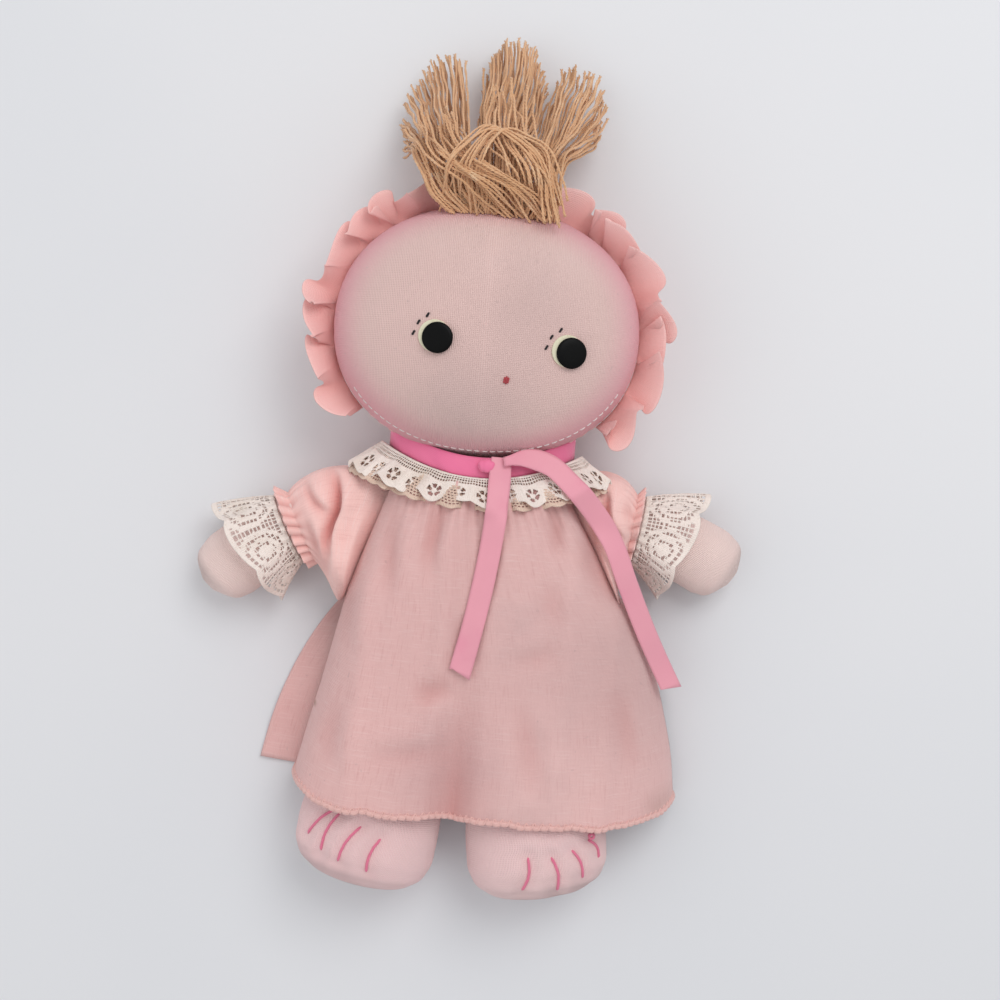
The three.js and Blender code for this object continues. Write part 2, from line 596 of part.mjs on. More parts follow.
// A ribbon tail laid on whatever lies below its route, and drawn straight over the dips.
function addTail(name) {
  const below = [...doll.children];
  const places = tailShares[name].map(([across, down]) => vec(across * skirt.leftX, down * gown.hemY, 0));
  const route = new THREE.CatmullRomCurve3(places);
  const [steps, drawn] = [24, 4];
  let lay = Array.from({ length: steps + 1 }, (_, i) => {
    const tangent = route.getTangentAt(i / steps);
    const across = vec(-tangent.y, tangent.x, 0).multiplyScalar(ribbon.width / 2);
    return [-1, 0, 1].map((side) => {
      const spot = route.getPointAt(i / steps).addScaledVector(across, side);
      return spot.setZ(topUnder(below, spot.x, spot.y, ribbon.width / 4) + ribbon.lay);
    });
  });
  for (let pass = 0; pass < drawn; pass++) {
    lay = lay.map((row, r) => row.map((p, i) => {
      const near = lay[Math.max(0, r - 1)][i].z + lay[Math.min(steps, r + 1)][i].z;
      return p.clone().setZ(Math.max(p.z, near / 2));
    }));
  }
  add(`${name}_ribbon_tail`, sheet(lay, ribbon.thickness), satin);
}

// A place on the head's outline at an angle, for half a width and half a height.
function headOutline(angle, halfWidth, halfHeight, z) {
  const x = head.centreX + halfWidth * bend(Math.cos(angle), headBoxShare);
  return vec(x, headY + halfHeight * bend(Math.sin(angle), headBoxShare), z);
}

// Rings of one side of the head, from its seam to its middle.
function headRings(table, rise, sides, inset) {
  return table.map(([radius, height]) => {
    const halfWidth = radius * (head.width / 2 - inset);
    const halfHeight = radius * (head.height / 2 - inset);
    const z = head.seamZ + height * (rise - Math.sign(rise) * inset);
    return Array.from({ length: sides }, (_, i) => headOutline((turn * i) / sides, halfWidth, halfHeight, z));
  });
}

function addHead() {
  const stem = neck.topY - neck.baseY + gap;
  const hole = new THREE.CylinderGeometry(neck.radius + gap, neck.radius + gap, stem, 20);
  hole.translate(0, neck.baseY + stem / 2, neckZ);
  const sides = 28;
  const panel = (table, rise, inset) => loft([
    ...headRings(table, rise, sides, inset).toReversed(),
    ...headRings(table, rise, sides, 0),
  ]);
  const faceCloth = panel(faceShares, faceRise, fabric).translate(0, 0, gap / 2);
  const faceMesh = add('face_panel', cut(faceCloth, hole), knit);
  const backCloth = panel(headBackShares, gap / 2 - head.seamZ, fabric).translate(0, 0, -gap / 2);
  add('head_back_panel', cut(backCloth, hole), bonnetCloth);
  const inset = fabric + gap * 2;
  const fill = loft([
    ...headRings(faceShares, faceRise, sides / 2, inset).slice(1).toReversed(),
    ...headRings(headBackShares, -head.seamZ, sides / 2, inset).slice(1),
  ]);
  add('head_stuffing', cut(fill, hole), filling);
  return faceMesh;
}

// The gathered frill that stands out of the head's seam, open under the chin.
function addFrill() {
  const [columns, rows] = [frill.folds * 5, 3];
  const start = radians(frill.openAngle / 2 - 90);
  const sweep = turn - radians(frill.openAngle);
  const grid = Array.from({ length: rows }, (_, r) => Array.from({ length: columns + 1 }, (_, i) => {
    const way = r / (rows - 1);
    const fold = (turn * frill.folds * i) / columns;
    const reach = gap * 2 + frill.width * way;
    const lean = (frill.lean * way * Math.cos(fold)) / (head.width / 2);
    const z = head.seamZ - frill.wave / 2 + frill.wave * way * Math.sin(fold);
    return headOutline(start + (sweep * i) / columns + lean, head.width / 2 + reach, head.height / 2 + reach, z);
  }));
  add('bonnet_frill', sheet(grid, frill.thickness), bonnetCloth);
}

// Lays a small piece, made on the plan round zero, on the cloth at a place.
function seatOn(mesh, geometry, x, y, rise) {
  const { point, normal } = dropOn([mesh], x, y);
  geometry.applyQuaternion(new THREE.Quaternion().setFromUnitVectors(vec(0, 0, 1), normal));
  return geometry.translate(...point.clone().addScaledVector(normal, rise));
}

// A felt disc and a flocked disc on it for each eye, with three short stitches for lashes.
function addEye(faceMesh, name, side) {
  const [x, y] = [face.middleX + (side * eye.spacing) / 2, face.eyeY + (side * face.tilt) / 2];
  const white = new THREE.CylinderGeometry(eye.whiteRadius, eye.whiteRadius, eye.whiteThickness, 20);
  white.rotateX(Math.PI / 2).translate(-eye.shift, eye.shift / 2, eye.whiteThickness / 2);
  add(`${name}_eye_white`, seatOn(faceMesh, white, x, y, gap), felt);
  const profile = [[0, 0], [1, 0], [1, 0.5], [0.8, 0.85], [0.4, 1], [0, 1]];
  const disc = profile.map(([across, up]) => new THREE.Vector2(across * eye.radius, up * eye.dome));
  const black = new THREE.LatheGeometry(disc, 20).rotateX(Math.PI / 2);
  add(`${name}_eye`, seatOn(faceMesh, black, x, y, eye.whiteThickness + gap * 2), flock);
  for (let i = 0; i < lash.count; i++) {
    const angle = radians(lash.firstAngle + lash.spread * i);
    const stitch = new THREE.CapsuleGeometry(lash.radius, lash.length, 2, 6).rotateZ(angle - Math.PI / 2);
    const [lashX, lashY] = [x + lash.reach * Math.cos(angle), y + lash.reach * Math.sin(angle)];
    add(`${name}_lash_${i + 1}`, seatOn(faceMesh, stitch, lashX, lashY, lash.radius + gap), darkThread);
  }
}

function addMouth(faceMesh) {
  const stitch = new THREE.CapsuleGeometry(mouth.radius, mouth.length, 3, 8);
  const [x, y] = [face.middleX + face.mouthShift, face.eyeY - face.mouthDrop];
  add('mouth_stitch', seatOn(faceMesh, stitch, x, y, mouth.radius + gap), redThread);
}

// The topknot: a fan of yarn from the top of the face, over the frill and down to its cut ends.
function addHair(faceMesh) {
  const columns = (hairTipShares.length - 1) * 2;
  const tips = hairTipShares.map((reach, i) => [(2 * i) / columns, reach]);
  const rootZ = dropOn([faceMesh], head.centreX, hair.rootY).point.z + gap + hair.thickness / 2;
  const side = (sign) => hairShares.map(([along, spread, height, thickness]) => Array.from(
    { length: columns + 1 },
    (_, i) => {
      const across = (2 * i) / columns - 1;
      const reach = hair.length * mix(1, rowAt(tips, i / columns)[1], along);
      const x = head.centreX + (across * mix(hair.rootWidth, hair.tipWidth, spread)) / 2;
      const half = (hair.thickness * thickness * mix(1, hairEdgeShare, across ** 6)) / 2;
      return vec(x, hair.rootY + along * reach, mix(hair.tipRise, rootZ, height) + sign * half);
    },
  ));
  add('yarn_hair', shell(side(1), side(-1)), yarn);
}

addTorso();
addHipSeam();
addNeck();
addArm('left', 1);
addArm('right', -1);
addLeg('left', 1);
addLeg('right', -1);
addGownFront();
addGownBack();
addCollar();
addRibbonLoop();
addTail('middle');
addTail('left');
const faceMesh = addHead();
addFrill();
addEye(faceMesh, 'left', 1);
addEye(faceMesh, 'right', -1);
addMouth(faceMesh);
addHair(faceMesh);

// The origin lies under the middle of the doll, on the surface it lies on.
const bounds = new THREE.Box3().setFromObject(doll);
const middle = bounds.getCenter(vec(0, 0, 0));
doll.position.set(-middle.x, -middle.y, -bounds.min.z);

export default doll;
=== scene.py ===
"""A soft rag doll on its back: knit head and limbs, bonnet frill, yarn topknot, gown, lace and ribbon.

Metres, in the row frame: +Z up out of the face, +Y towards the head, +X to the doll's own left.
"""
import math
from types import SimpleNamespace

import bmesh
import bpy
import numpy as np
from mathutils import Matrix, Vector
from mathutils.bvhtree import BVHTree


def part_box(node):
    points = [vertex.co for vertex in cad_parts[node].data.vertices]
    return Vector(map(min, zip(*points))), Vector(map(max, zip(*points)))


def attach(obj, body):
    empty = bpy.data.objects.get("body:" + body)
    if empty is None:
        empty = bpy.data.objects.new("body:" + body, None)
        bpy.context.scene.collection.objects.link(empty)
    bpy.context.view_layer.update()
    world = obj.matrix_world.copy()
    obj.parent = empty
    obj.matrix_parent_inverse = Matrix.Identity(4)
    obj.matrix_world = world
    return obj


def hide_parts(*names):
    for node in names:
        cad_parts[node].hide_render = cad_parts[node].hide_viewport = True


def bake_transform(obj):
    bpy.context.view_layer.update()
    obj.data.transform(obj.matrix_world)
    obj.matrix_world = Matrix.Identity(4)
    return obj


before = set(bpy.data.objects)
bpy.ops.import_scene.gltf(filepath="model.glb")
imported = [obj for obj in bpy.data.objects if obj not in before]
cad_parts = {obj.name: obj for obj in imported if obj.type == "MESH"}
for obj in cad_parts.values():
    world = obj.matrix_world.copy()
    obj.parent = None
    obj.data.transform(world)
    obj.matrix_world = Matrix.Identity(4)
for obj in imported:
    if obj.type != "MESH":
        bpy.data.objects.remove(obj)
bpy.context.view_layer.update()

MM = 0.001
TURN = 2 * math.pi
SIDES = (("left", 1), ("right", -1))


def sizes(plain=None, **lengths):
    """Lengths given in millimetres and kept in metres, with the plain numbers that go with them."""
    return SimpleNamespace(**{name: value * MM for name, value in lengths.items()}, **(plain or {}))


# The doll's own plan origin, between its shoulders, in the row frame
TORSO_LOW, TORSO_HIGH = (np.array(corner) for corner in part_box("torso_front_panel"))
HIP_Y = -90 * MM
HOME = np.array(((TORSO_LOW[0] + TORSO_HIGH[0]) / 2, TORSO_LOW[1] - HIP_Y, 0.0))

# Cloth thicknesses and clearances
CLOTH = 0.7 * MM
GAP = 0.3 * MM
FLOOR_OVER_GOWN = 1.3 * MM
SETTLED = 0.5 * MM

# Stuffed forms
TORSO = sizes(length=102, width=92, thickness=54, top_y=12)
TORSO_Z = FLOOR_OVER_GOWN + TORSO.thickness / 2
NECK = sizes({"z": TORSO_Z - 2 * MM}, radius=12.3, low_y=-2, high_y=28)
HEAD = sizes(width=138, height=113, depth=76, seam_z=41, x=-2)
HEAD.y = 19 * MM + HEAD.height / 2
FACE_RISE = HEAD.depth - HEAD.seam_z - GAP - SETTLED
ARM = sizes(width=33, thickness=27, seam_top_y=1, seam_end_y=-22, ease=2.7)
# Elbow and tip of each arm, in millimetres on the doll's plan
ARM_ENDS = {"left": ((82, -2), (121.5, -28)), "right": ((-85, -8), (-123.5, -50))}
LEG = sizes({"splay": 10}, length=85.5, width=65, thickness=51, hip_x=27, bow=2)
FOLD_Y = HIP_Y - 1.8 * MM
LEG_TOP_Y = FOLD_Y - 5.6 * MM

# Clothes
GOWN = sizes(
    top_y=7, back_top_y=-5, hem_y=-144, neck_half=38, neck_rise=41, seam_rise=24, side_x=57, side_y=-46,
)
# Where each armhole of the front ends
SEAM_ENDS = {1: (69 * MM, -42 * MM), -1: (57 * MM, -46 * MM)}
SKIRT = sizes(
    right_x=77, left_x=103, edge_rise=3.4, crown=58, valley=12, corner_lift=11,
    soft=2, broad=1.5, hem_wave=0.8,
)
# Gathers under the neckline
GATHERS = sizes({"count": 22, "reach": 0.09, "uneven": 0.00064}, depth=1)
SLEEVE = sizes(
    {"gathers": 20, "elastic_place": 0.86, "root_share": 0.2, "pull_share": 0.25, "tightening": 3.2},
    tuck=1.5, puff=3, height=41, ease=1.6, gather=0.8, sag=3, flare=2.4, uneven=1.6, low=0.4, pucker=4,
    blend_start=3, blend_end=24,
)
# Folds over the top of each sleeve, in millimetres on the doll's plan: points, depth, width
SLEEVE_FOLDS = {
    "right": (
        ((-73, 14), (-64, 1), (-62, -9), (-65, -20), (-66, -33), (-68, -44), 9, 3.8),
        ((-83, 4), (-74, -7), (-66, -14), 5, 3.2), ((-52, -6), (-57, -20), (-59, -34), 4, 4.0),
        ((-79, -16), (-73, -24), (-71, -38), 5, 3.0),
    ),
    "left": (
        ((57, 10), (59, 3), (62, -9), (68, -15), 7, 3.2), ((52, 4), (54, -10), (60, -26), 5, 3.4),
        ((68, 6), (70, -4), (74, -10), 4, 2.8),
    ),
}
CUFF_SHARE = {"left": 0.4, "right": 0.5}
CUFF_LACE = sizes(
    {"scallops": 6}, length=24, flare=9, ruffle=1.6, gather=0.5, cell=0.55, net=0.6, thread=0.35,
)
# Rings of thread in each scallop of the cuff lace, from and to a share of its size
LACE_RINGS = ((-1, 0.28), (0.42, 0.6), (0.76, 0.93))
COLLAR = sizes(
    {"ruffles": 17, "flowers": 31},
    half_width=46, half_height=24, flare_x=15, flare_z=4, top_y=9, rise=14, fall=11.5, lift=2, ruffle=2.8,
    gather=0.35, scallop=1.3, sway=1.5, thread=0.4, floor=0.4,
)
# A flower of eyelets, with its sizes in millimetres, its place across the lace and its spokes
FLOWER = SimpleNamespace(pitch=8.8, lace=12.5, petal=1.75, half=0.75, place=0.62, spoke=0.45)
NECK_BAND_Z = TORSO_Z + COLLAR.lift
RIBBON = sizes(
    {"tilt": 0.35, "pinch": {"middle": 0.1, "left": 0.6}, "pinch_share": 0.07},
    width=10, loop_width=9.6, half_width=42.5, half_height=22, rise=12.5, thickness=0.35, lay=0.8,
    wave=0.35, slant=1.6,
)
RIBBON_CUT = 1.01 * RIBBON.width
KNOT = sizes(x=3, rise=1.2, width=7.5, height=6.5, depth=4.5)
FRILL = sizes(
    {"folds": 19, "points": 44, "open": 91, "loop": 0.12, "turn": 0.34, "calm": 1.7},
    width=10.5, wave=4.5, lean=8, meander=4.2, warp=2.5, cloth=0.5, puff=0.6,
)
# Unevenness of the frill's folds: its level, strength, length in folds and seed
FRILL_WAVES = (
    ("loop", 1, 0.5, 2.3, 82), ("turn", 1, 0.6, 3.7, 86), ("wave", 1, 0.4, 1.9, 83),
    ("meander", 0.8, 0.55, 1.4, 87),
)
# The line of a fold, as waves: strength, number in a fold, shift
FRILL_SLANT = ((0.8, 1, 0.5), (0.4, 2, 1.3), (0.12, 3, 0))
HEM = sizes(stitch=3.6, radius=1.2, thread=0.4, sway=0.5, low=0.1, swing=1.5, over=1.15)

# Face and small stitches
EYE = sizes(radius=6.8, white=7.05, spacing=58, shift=1.5)
FACE = sizes({"stitched": (212, 338)}, x=6.6, eye_y=67, tilt=-2, mouth_drop=15, mouth_shift=2, uneven=0.5)
TOPSTITCH = sizes({"share": 0.962}, length=2.5, space=1, radius=0.3, raised=0.12, sunk=-0.25)
# Stitches of the mouth: place across and length, in millimetres
MOUTH = ((-0.8, 2.2), (0, 3.2), (0.8, 2.2))
MOUTH_THREAD = sizes(radius=0.5, slope=0.3, raised=0.35, sunk=-0.35)
LASH = sizes({"count": 3, "first": 118, "spread": 27, "slope": 62}, length=1.9, radius=0.42, reach=10.8)
TOE = sizes(
    {"turns": 2.6}, radius=0.62, knot=1.9, knot_low=-0.9, knot_rise=1.6, groove=3.2, reach=4.2, bow=1.7,
    groove_from=20, groove_over=12,
)

# The yarn topknot
HAIR = sizes(
    {"strands": 190},
    root_y=125.5, root_z=60, neck_y=151, tip_z=13, wave=1.7, ply=0.37, twist=4.2, fray=7,
)
# Each clump of yarn: its share of the strands, roots and neck from right to left, its tips, its bow
CLUMPS = (
    (0.36, (-19, 4), (-38, -11),
     ((-46, 162), (-50, 175), (-48, 188), (-42, 201), (-35, 207), (-27, 209), (-21, 205)), -1.5),
    (0.36, (-12, 20), (-10, 13),
     ((-13, 198), (-9, 211), (-4, 216), (3, 218), (9, 214), (15, 205), (18, 190)), -1),
    (0.28, (8, 27), (15, 28),
     ((22, 194), (24, 204), (30, 207), (37, 206), (43, 200), (45, 188), (42, 178)), 4),
)
# Strands that curl over the others: how many, then how far across and up each part of them lies
SWEEPS = (
    (16, ((0, 28), 126, 66), ((-14, 14), 135, 72), ((-34, -8), 148, 68), ((-46, -20), 172, 52)),
    (18, ((-24, -4), 127, 66), ((-22, -8), 145, 71), ((-6, 4), 163, 62), ((12, 20), 153, 68),
     ((22, 29), 134, 66)),
    (12, ((8, 28), 126, 66), ((6, 24), 142, 70), ((-6, 16), 160, 62), ((-8, 14), 192, 44)),
)

# Stuffed forms from the sewn end to the far end: place along the form, width, thickness, lift
TORSO_SHARES = (
    (0, 0.42, 0.62), (0.06, 0.64, 0.76), (0.13, 0.78, 0.85), (0.22, 0.86, 0.93), (0.33, 0.9, 0.98),
    (0.48, 0.97, 1), (0.64, 1, 0.98), (0.79, 0.99, 0.86), (0.88, 0.97, 0.66), (0.96, 0.94, 0.3),
    (1, 0.92, 0.07),
)
ARM_SHARES = (
    (0, 0.72, 0.1, 1), (0.06, 0.74, 0.12, 0.98), (0.13, 0.78, 0.32, 0.88), (0.22, 0.84, 0.64, 0.7),
    (0.33, 0.88, 0.84, 0.48), (0.46, 0.92, 0.92, 0.32), (0.62, 0.97, 0.95, 0.2), (0.77, 1, 0.97, 0.1),
    (0.88, 0.97, 1, 0), (0.96, 0.72, 0.76, 0), (1, 0.28, 0.3, 0),
)
LEG_SHARES = (
    (0, 0.52, 0.08, 1), (0.09, 0.7, 0.31, 0.8), (0.23, 0.84, 0.6, 0.45), (0.4, 0.93, 0.82, 0.2),
    (0.57, 0.98, 0.93, 0.06), (0.73, 1, 1, 0), (0.85, 0.96, 0.96, 0), (0.93, 0.8, 0.8, 0),
    (0.98, 0.5, 0.5, 0), (1, 0.18, 0.18, 0),
)
# The head's front and back, from the seam to the middle: step, radius, height
FACE_SHARES = (
    (0, 0.985, 0), (0.06, 1, 0.07), (0.16, 0.985, 0.22), (0.3, 0.94, 0.42), (0.45, 0.85, 0.62),
    (0.6, 0.7, 0.79), (0.75, 0.5, 0.915), (0.9, 0.24, 0.985), (1, 0, 1),
)
HEAD_BACK_SHARES = (
    (0, 0.985, 0), (0.06, 1, 0.06), (0.16, 1, 0.22), (0.3, 0.965, 0.46), (0.45, 0.88, 0.69),
    (0.6, 0.74, 0.87), (0.75, 0.55, 0.97), (0.9, 0.3, 1), (1, 0, 1),
)
HEAD_BOX_SHARE = 0.93
SLEEVE_BOX_SHARE = 0.75
# Profiles of an eye's felt and disc: share of the radius, height in millimetres
FELT_SHARES = ((0.001, -0.6), (1, -0.6), (1, 0.5), (0.97, 0.75), (0.9, 0.85), (0.001, 0.9))
DISC_SHARES = (
    (0.001, 0), (0.98, 0), (1, 0.6), (0.985, 1.24), (0.93, 1.64), (0.8, 1.86), (0.5, 1.98), (0.001, 2),
)
# The skirt below the armholes: way down, spread of the right and left edges, fall to the floor
SKIRT_SHARES = (
    (0, 0, 0, 0), (0.07, 0.07, 0.19, 0.2), (0.14, 0.15, 0.31, 0.42), (0.25, 0.27, 0.46, 0.7),
    (0.4, 0.42, 0.63, 0.88), (0.6, 0.62, 0.8, 0.98), (0.8, 0.82, 0.93, 1), (1, 1, 1, 1),
)
CROWN_SHARES = (
    (0, 0.89), (0.055, 0.935), (0.12, 0.972), (0.2, 0.995), (0.3, 1), (0.42, 1), (0.5, 0.985),
    (0.62, 0.96), (0.75, 0.95), (1, 0.95),
)
CROWN_POWER = {"top": 3, "right": 8, "left": 2.4}
BACK_HEM_SHARES = {"side": (0.84, 0.55), "corner": (0.92, 0.91), "middle_y": 0.99}
GOWN_BACK = sizes({"upper": 0.3}, cloth=0.6, low=0.55, wave=0.25, curl=2.2)
# Ends of each toe stitch: across the foot and along the leg, at its front and at its back
TOE_SHARES = {
    "left": (((-0.23, 0.91), (-0.13, 0.73)), ((0.26, 0.93), (0.19, 0.735)), ((0.62, 0.88), (0.48, 0.71)),
             ((0.86, 0.785), (0.72, 0.67))),
    "right": (((-0.12, 0.88), (-0.23, 0.69)), ((0.3, 0.86), (0.07, 0.645)), ((0.56, 0.83), (0.4, 0.6)),
              ((0.8, 0.77), (0.42, 0.57))),
}
# Places on the two ribbon tails, across and down, as shares of the skirt's left corner
TAIL_SHARES = {
    "middle": ((0.09, -0.131), (0.085, 0.048), (0.062, 0.215), (0.023, 0.394), (-0.018, 0.543)),
    "left": ((0.1, -0.118), (0.2, -0.135), (0.3, -0.12), (0.4, -0.065), (0.48, -0.01), (0.6, 0.1),
             (0.685, 0.23), (0.794, 0.387), (0.933, 0.562)),
}
# Creases in the front of the gown, in millimetres on the doll's plan: start, end, depth, width
GOWN_CREASES = (
    ((-13.9, 0.5), (-20.7, -34.5), 3.2, 4.5), ((33.4, 2.7), (36, -8), (38.0, -22.6), 4.2, 4.0),
    ((45.5, -8.8), (60.6, -42.8), 3.4, 5.0), ((18.5, -72.0), (41.4, -66.0), 1.2, 5.0),
    ((-4.9, -83.2), (-21.0, -93.4), 3.0, 6.0), ((-42.1, -120.1), (-2.5, -113.4), 1.6, 6.0),
    ((-53.5, -31.8), (-56.4, -73.9), 3.6, 5.5), ((62.0, -14.2), (77.4, -63.4), 3.6, 5.5),
    ((-55.6, -96.1), (-59.3, -128.1), 2.6, 6.0), ((26.3, -87.9), (37.2, -130.3), 2.0, 6.5),
    ((68.9, -80.1), (82.0, -121.4), 3.2, 6.5), ((-36.5, -3.7), (-36.2, -48.2), 2.8, 4.5),
    ((10.2, -2.2), (8.2, -44.7), 2.4, 4.5), ((0.5, -49.8), (-1.3, -72.2), 1.6, 5.0),
    ((34.1, -33.8), (40.0, -54.6), 1.6, 6.0),
)

# Soiled places, in millimetres on the doll's plan: colour on the gown, place, reach, strength. On the gown,
# the first row is painted shadow in the valley between the legs, the second a broad darkening over the belly,
# the third painted shade over the doll's left side of the skirt, and the last two are stains.
FACE_SOIL = ((18, 82, 36, 0.25), (-6, 34, 44, 0.45))
GOWN_SOIL_AND_SHADE = (
    ("#b9999a", -4, -122, 40, 0.4), ("#c8a4a3", 14, -70, 60, 0.2), ("#c19c9a", 74, -76, 66, 0.45),
    ("#b08f85", 96, -136, 14, 0.35), ("#9a6b4a", -69, -101, 2.2, 0.7),
)

# Camera: straight above, the frame turned a little to the doll
CAMERA = sizes({"turn": 4.5, "sensor": 36}, height=760, view_width=480, x=10)
# Half the width of the floor, in metres
FLOOR_HALF = 3.0


def signed_power(value, power):
    return np.sign(value) * np.abs(value) ** power


def smooth_table(table, places):
    """A table of shares, drawn as one smooth curve through its rows, at each place."""
    table = np.array(table, dtype=float)
    knots, values = table[:, 0], table[:, 1:]
    slopes = np.gradient(values, knots, axis=0)
    places = np.clip(np.asarray(places, dtype=float), knots[0], knots[-1])
    index = np.clip(np.searchsorted(knots, places, side="right") - 1, 0, len(knots) - 2)
    span = (knots[index + 1] - knots[index])[:, None]
    t = (places - knots[index])[:, None] / span
    start = values[index] * (2 * t**3 - 3 * t**2 + 1) + slopes[index] * span * (t**3 - 2 * t**2 + t)
    end = values[index + 1] * (3 * t**2 - 2 * t**3) + slopes[index + 1] * span * (t**3 - t**2)
    return start + end


def waves(places, seed, lengths=(1.0, 0.53, 0.31)):
    """Smooth, seeded unevenness between about -1 and 1 along a row of places."""
    phases = np.random.default_rng(seed).uniform(0, TURN, len(lengths))
    turned = TURN * np.asarray(places)
    total = sum(length * np.sin(turned / length + phase) for length, phase in zip(lengths, phases))
    return total / sum(lengths)


def round_angles(count):
    return TURN * np.arange(count) / count


def unit(vectors):
    return vectors / np.linalg.norm(vectors, axis=-1, keepdims=True)


def tangents_of(path):
    return unit(np.gradient(path, axis=0))


def distances(path):
    """How far each point of a path is from its start, along the path."""
    return np.concatenate(([0], np.cumsum(np.linalg.norm(np.diff(path, axis=0), axis=1))))


def at_places(places, steps, path):
    """Points at some distances along a path whose own distances are given."""
    return np.column_stack([np.interp(places, steps, axis) for axis in path.T])


def smooth_path(points, count):
    """Even points along a smooth curve through a few points."""
    points = np.array(points, dtype=float)
    knots = distances(points)
    fine = smooth_table(np.column_stack((knots, points)), np.linspace(0, knots[-1], 400))
    steps = distances(fine)
    return at_places(np.linspace(0, steps[-1], count), steps, fine)


def arc_uv(points, loop):
    """UV in metres: distance round the rows and down the columns of a grid."""
    rows = np.concatenate((points, points[:, :1]), axis=1) if loop else points
    across = np.linalg.norm(np.diff(rows, axis=1), axis=2).mean(axis=0)
    down = np.linalg.norm(np.diff(points, axis=0), axis=2).mean(axis=1)
    u, v = (np.concatenate(([0], np.cumsum(steps))) for steps in (across, down))
    return np.stack(np.meshgrid(u, v), axis=2)


def girth_uv(points):
    """UV in metres of a closed form, with each row at its own girth."""
    closed = np.concatenate((points, points[:, :1]), axis=1)
    steps = np.linalg.norm(np.diff(closed, axis=1), axis=2)
    u = np.pad(np.cumsum(steps, axis=1), ((0, 0), (1, 0)))
    v = arc_uv(points, True)[..., 1]
    return np.dstack((u - u[:, -1:] / 2, v))


def placed(name, data, location=(0, 0, 0)):
    thing = bpy.data.objects.new(name, data)
    thing.location = location
    bpy.context.scene.collection.objects.link(thing)
    return thing


def mesh_object(name, vertices, faces, uvs):
    """A smooth-shaded mesh object in the row frame, with a UV for each face corner."""
    mesh = bpy.data.meshes.new(name)
    mesh.from_pydata([tuple(v) for v in vertices], [], faces)
    layer = mesh.uv_layers.new(name="UVMap")
    layer.data.foreach_set("uv", np.array(uvs, dtype=np.float32).ravel())
    mesh.polygons.foreach_set("use_smooth", [True] * len(mesh.polygons))
    return placed(name, mesh)


def grid_object(name, points, loop=False, caps=False, uv=None, keep=None):
    """A sheet over a grid of points in the doll's plan, open or round in a loop, with or without ends."""
    rows, columns = points.shape[:2]
    uv = arc_uv(points, loop) if uv is None else uv
    vertices = list((points + HOME).reshape(-1, 3))
    faces, corners = [], []
    for r in range(rows - 1):
        for c in range(columns if loop else columns - 1):
            if keep is None or keep[r, c]:
                a, b = r * columns + c, r * columns + (c + 1) % columns
                faces.append((a, b, b + columns, a + columns))
                corners += [uv[r, c], uv[r, c + 1], uv[r + 1, c + 1], uv[r + 1, c]]
    for row, first in ((0, True), (rows - 1, False)) if caps else ():
        middle = len(vertices)
        vertices.append(points[row].mean(axis=0) + HOME)
        centre = uv[row].mean(axis=0)
        for c in range(columns):
            a, b = row * columns + c, row * columns + (c + 1) % columns
            faces.append((middle, b, a) if first else (middle, a, b))
            pair = [uv[row, c + 1], uv[row, c]] if first else [uv[row, c], uv[row, c + 1]]
            corners += [centre, *pair]
    return mesh_object(name, vertices, faces, corners)


def face_outwards(piece, apart=1e-6, fill=False):
    """Joins the seams of a closed form, fills its open edges if asked to and turns its faces outwards."""
    mesh = bmesh.new()
    mesh.from_mesh(piece.data)
    bmesh.ops.remove_doubles(mesh, verts=mesh.verts, dist=apart)
    if fill:
        bmesh.ops.holes_fill(mesh, edges=[e for e in mesh.edges if e.is_boundary], sides=0)
    bmesh.ops.recalc_face_normals(mesh, faces=mesh.faces)
    mesh.to_mesh(piece.data)
    mesh.free()


def closed_form(name, rows, uv=None):
    """A closed form over rings of points, its faces turned outwards."""
    piece = grid_object(name, np.array(rows), loop=True, caps=True, uv=uv)
    face_outwards(piece)
    return piece


def thicken(piece, thickness):
    """Gives a sheet its cloth thickness."""
    loose = bmesh.new()
    loose.from_mesh(piece.data)
    bmesh.ops.delete(loose, geom=[v for v in loose.verts if not v.link_faces], context="VERTS")
    loose.to_mesh(piece.data)
    loose.free()
    solid = piece.modifiers.new("cloth", "SOLIDIFY")
    solid.thickness = thickness
    solid.offset = 0
    settle(piece)


def settle(piece):
    """Applies a piece's modifiers to its mesh."""
    graph = bpy.context.evaluated_depsgraph_get()
    graph.update()
    mesh = bpy.data.meshes.new_from_object(piece.evaluated_get(graph))
    piece.modifiers.clear()
    old = piece.data
    piece.data = mesh
    bpy.data.meshes.remove(old)
    mesh.name = piece.name


def tube_data(path, radius, sides, taper):
    """Points and faces of a round tube along a path, with UV round it and along it."""
    tangents, lengths = tangents_of(path), distances(path)
    side = np.cross(tangents[0], (0.0, 0.0, 1.0))
    if np.linalg.norm(side) < 1e-6:
        side = np.array((1.0, 0.0, 0.0))
    vertices, faces, uvs = [], [], []
    girth = TURN * float(np.mean(radius))
    radii = np.broadcast_to(radius, len(path))
    last, angles = len(path) - 1, round_angles(sides)
    for i, (point, tangent) in enumerate(zip(path, tangents)):
        side = unit(side - tangent * side.dot(tangent))
        up = np.cross(side, tangent)
        here = radii[i] * (1 - taper * max(0.0, 1 - min(i, last - i) / max(1, last) * 12))
        vertices += [point + here * (side * math.cos(turned) + up * math.sin(turned)) for turned in angles]
    for i in range(last):
        for k in range(sides):
            a, b = i * sides + k, i * sides + (k + 1) % sides
            faces.append((a, b, b + sides, a + sides))
            corners = ((i, k), (i, k + 1), (i + 1, k + 1), (i + 1, k))
            uvs += [(column / sides * girth, lengths[row]) for row, column in corners]
    faces += [tuple(reversed(range(sides))), tuple(range(last * sides, (last + 1) * sides))]
    return vertices, faces, uvs + [(0, 0)] * (2 * sides)


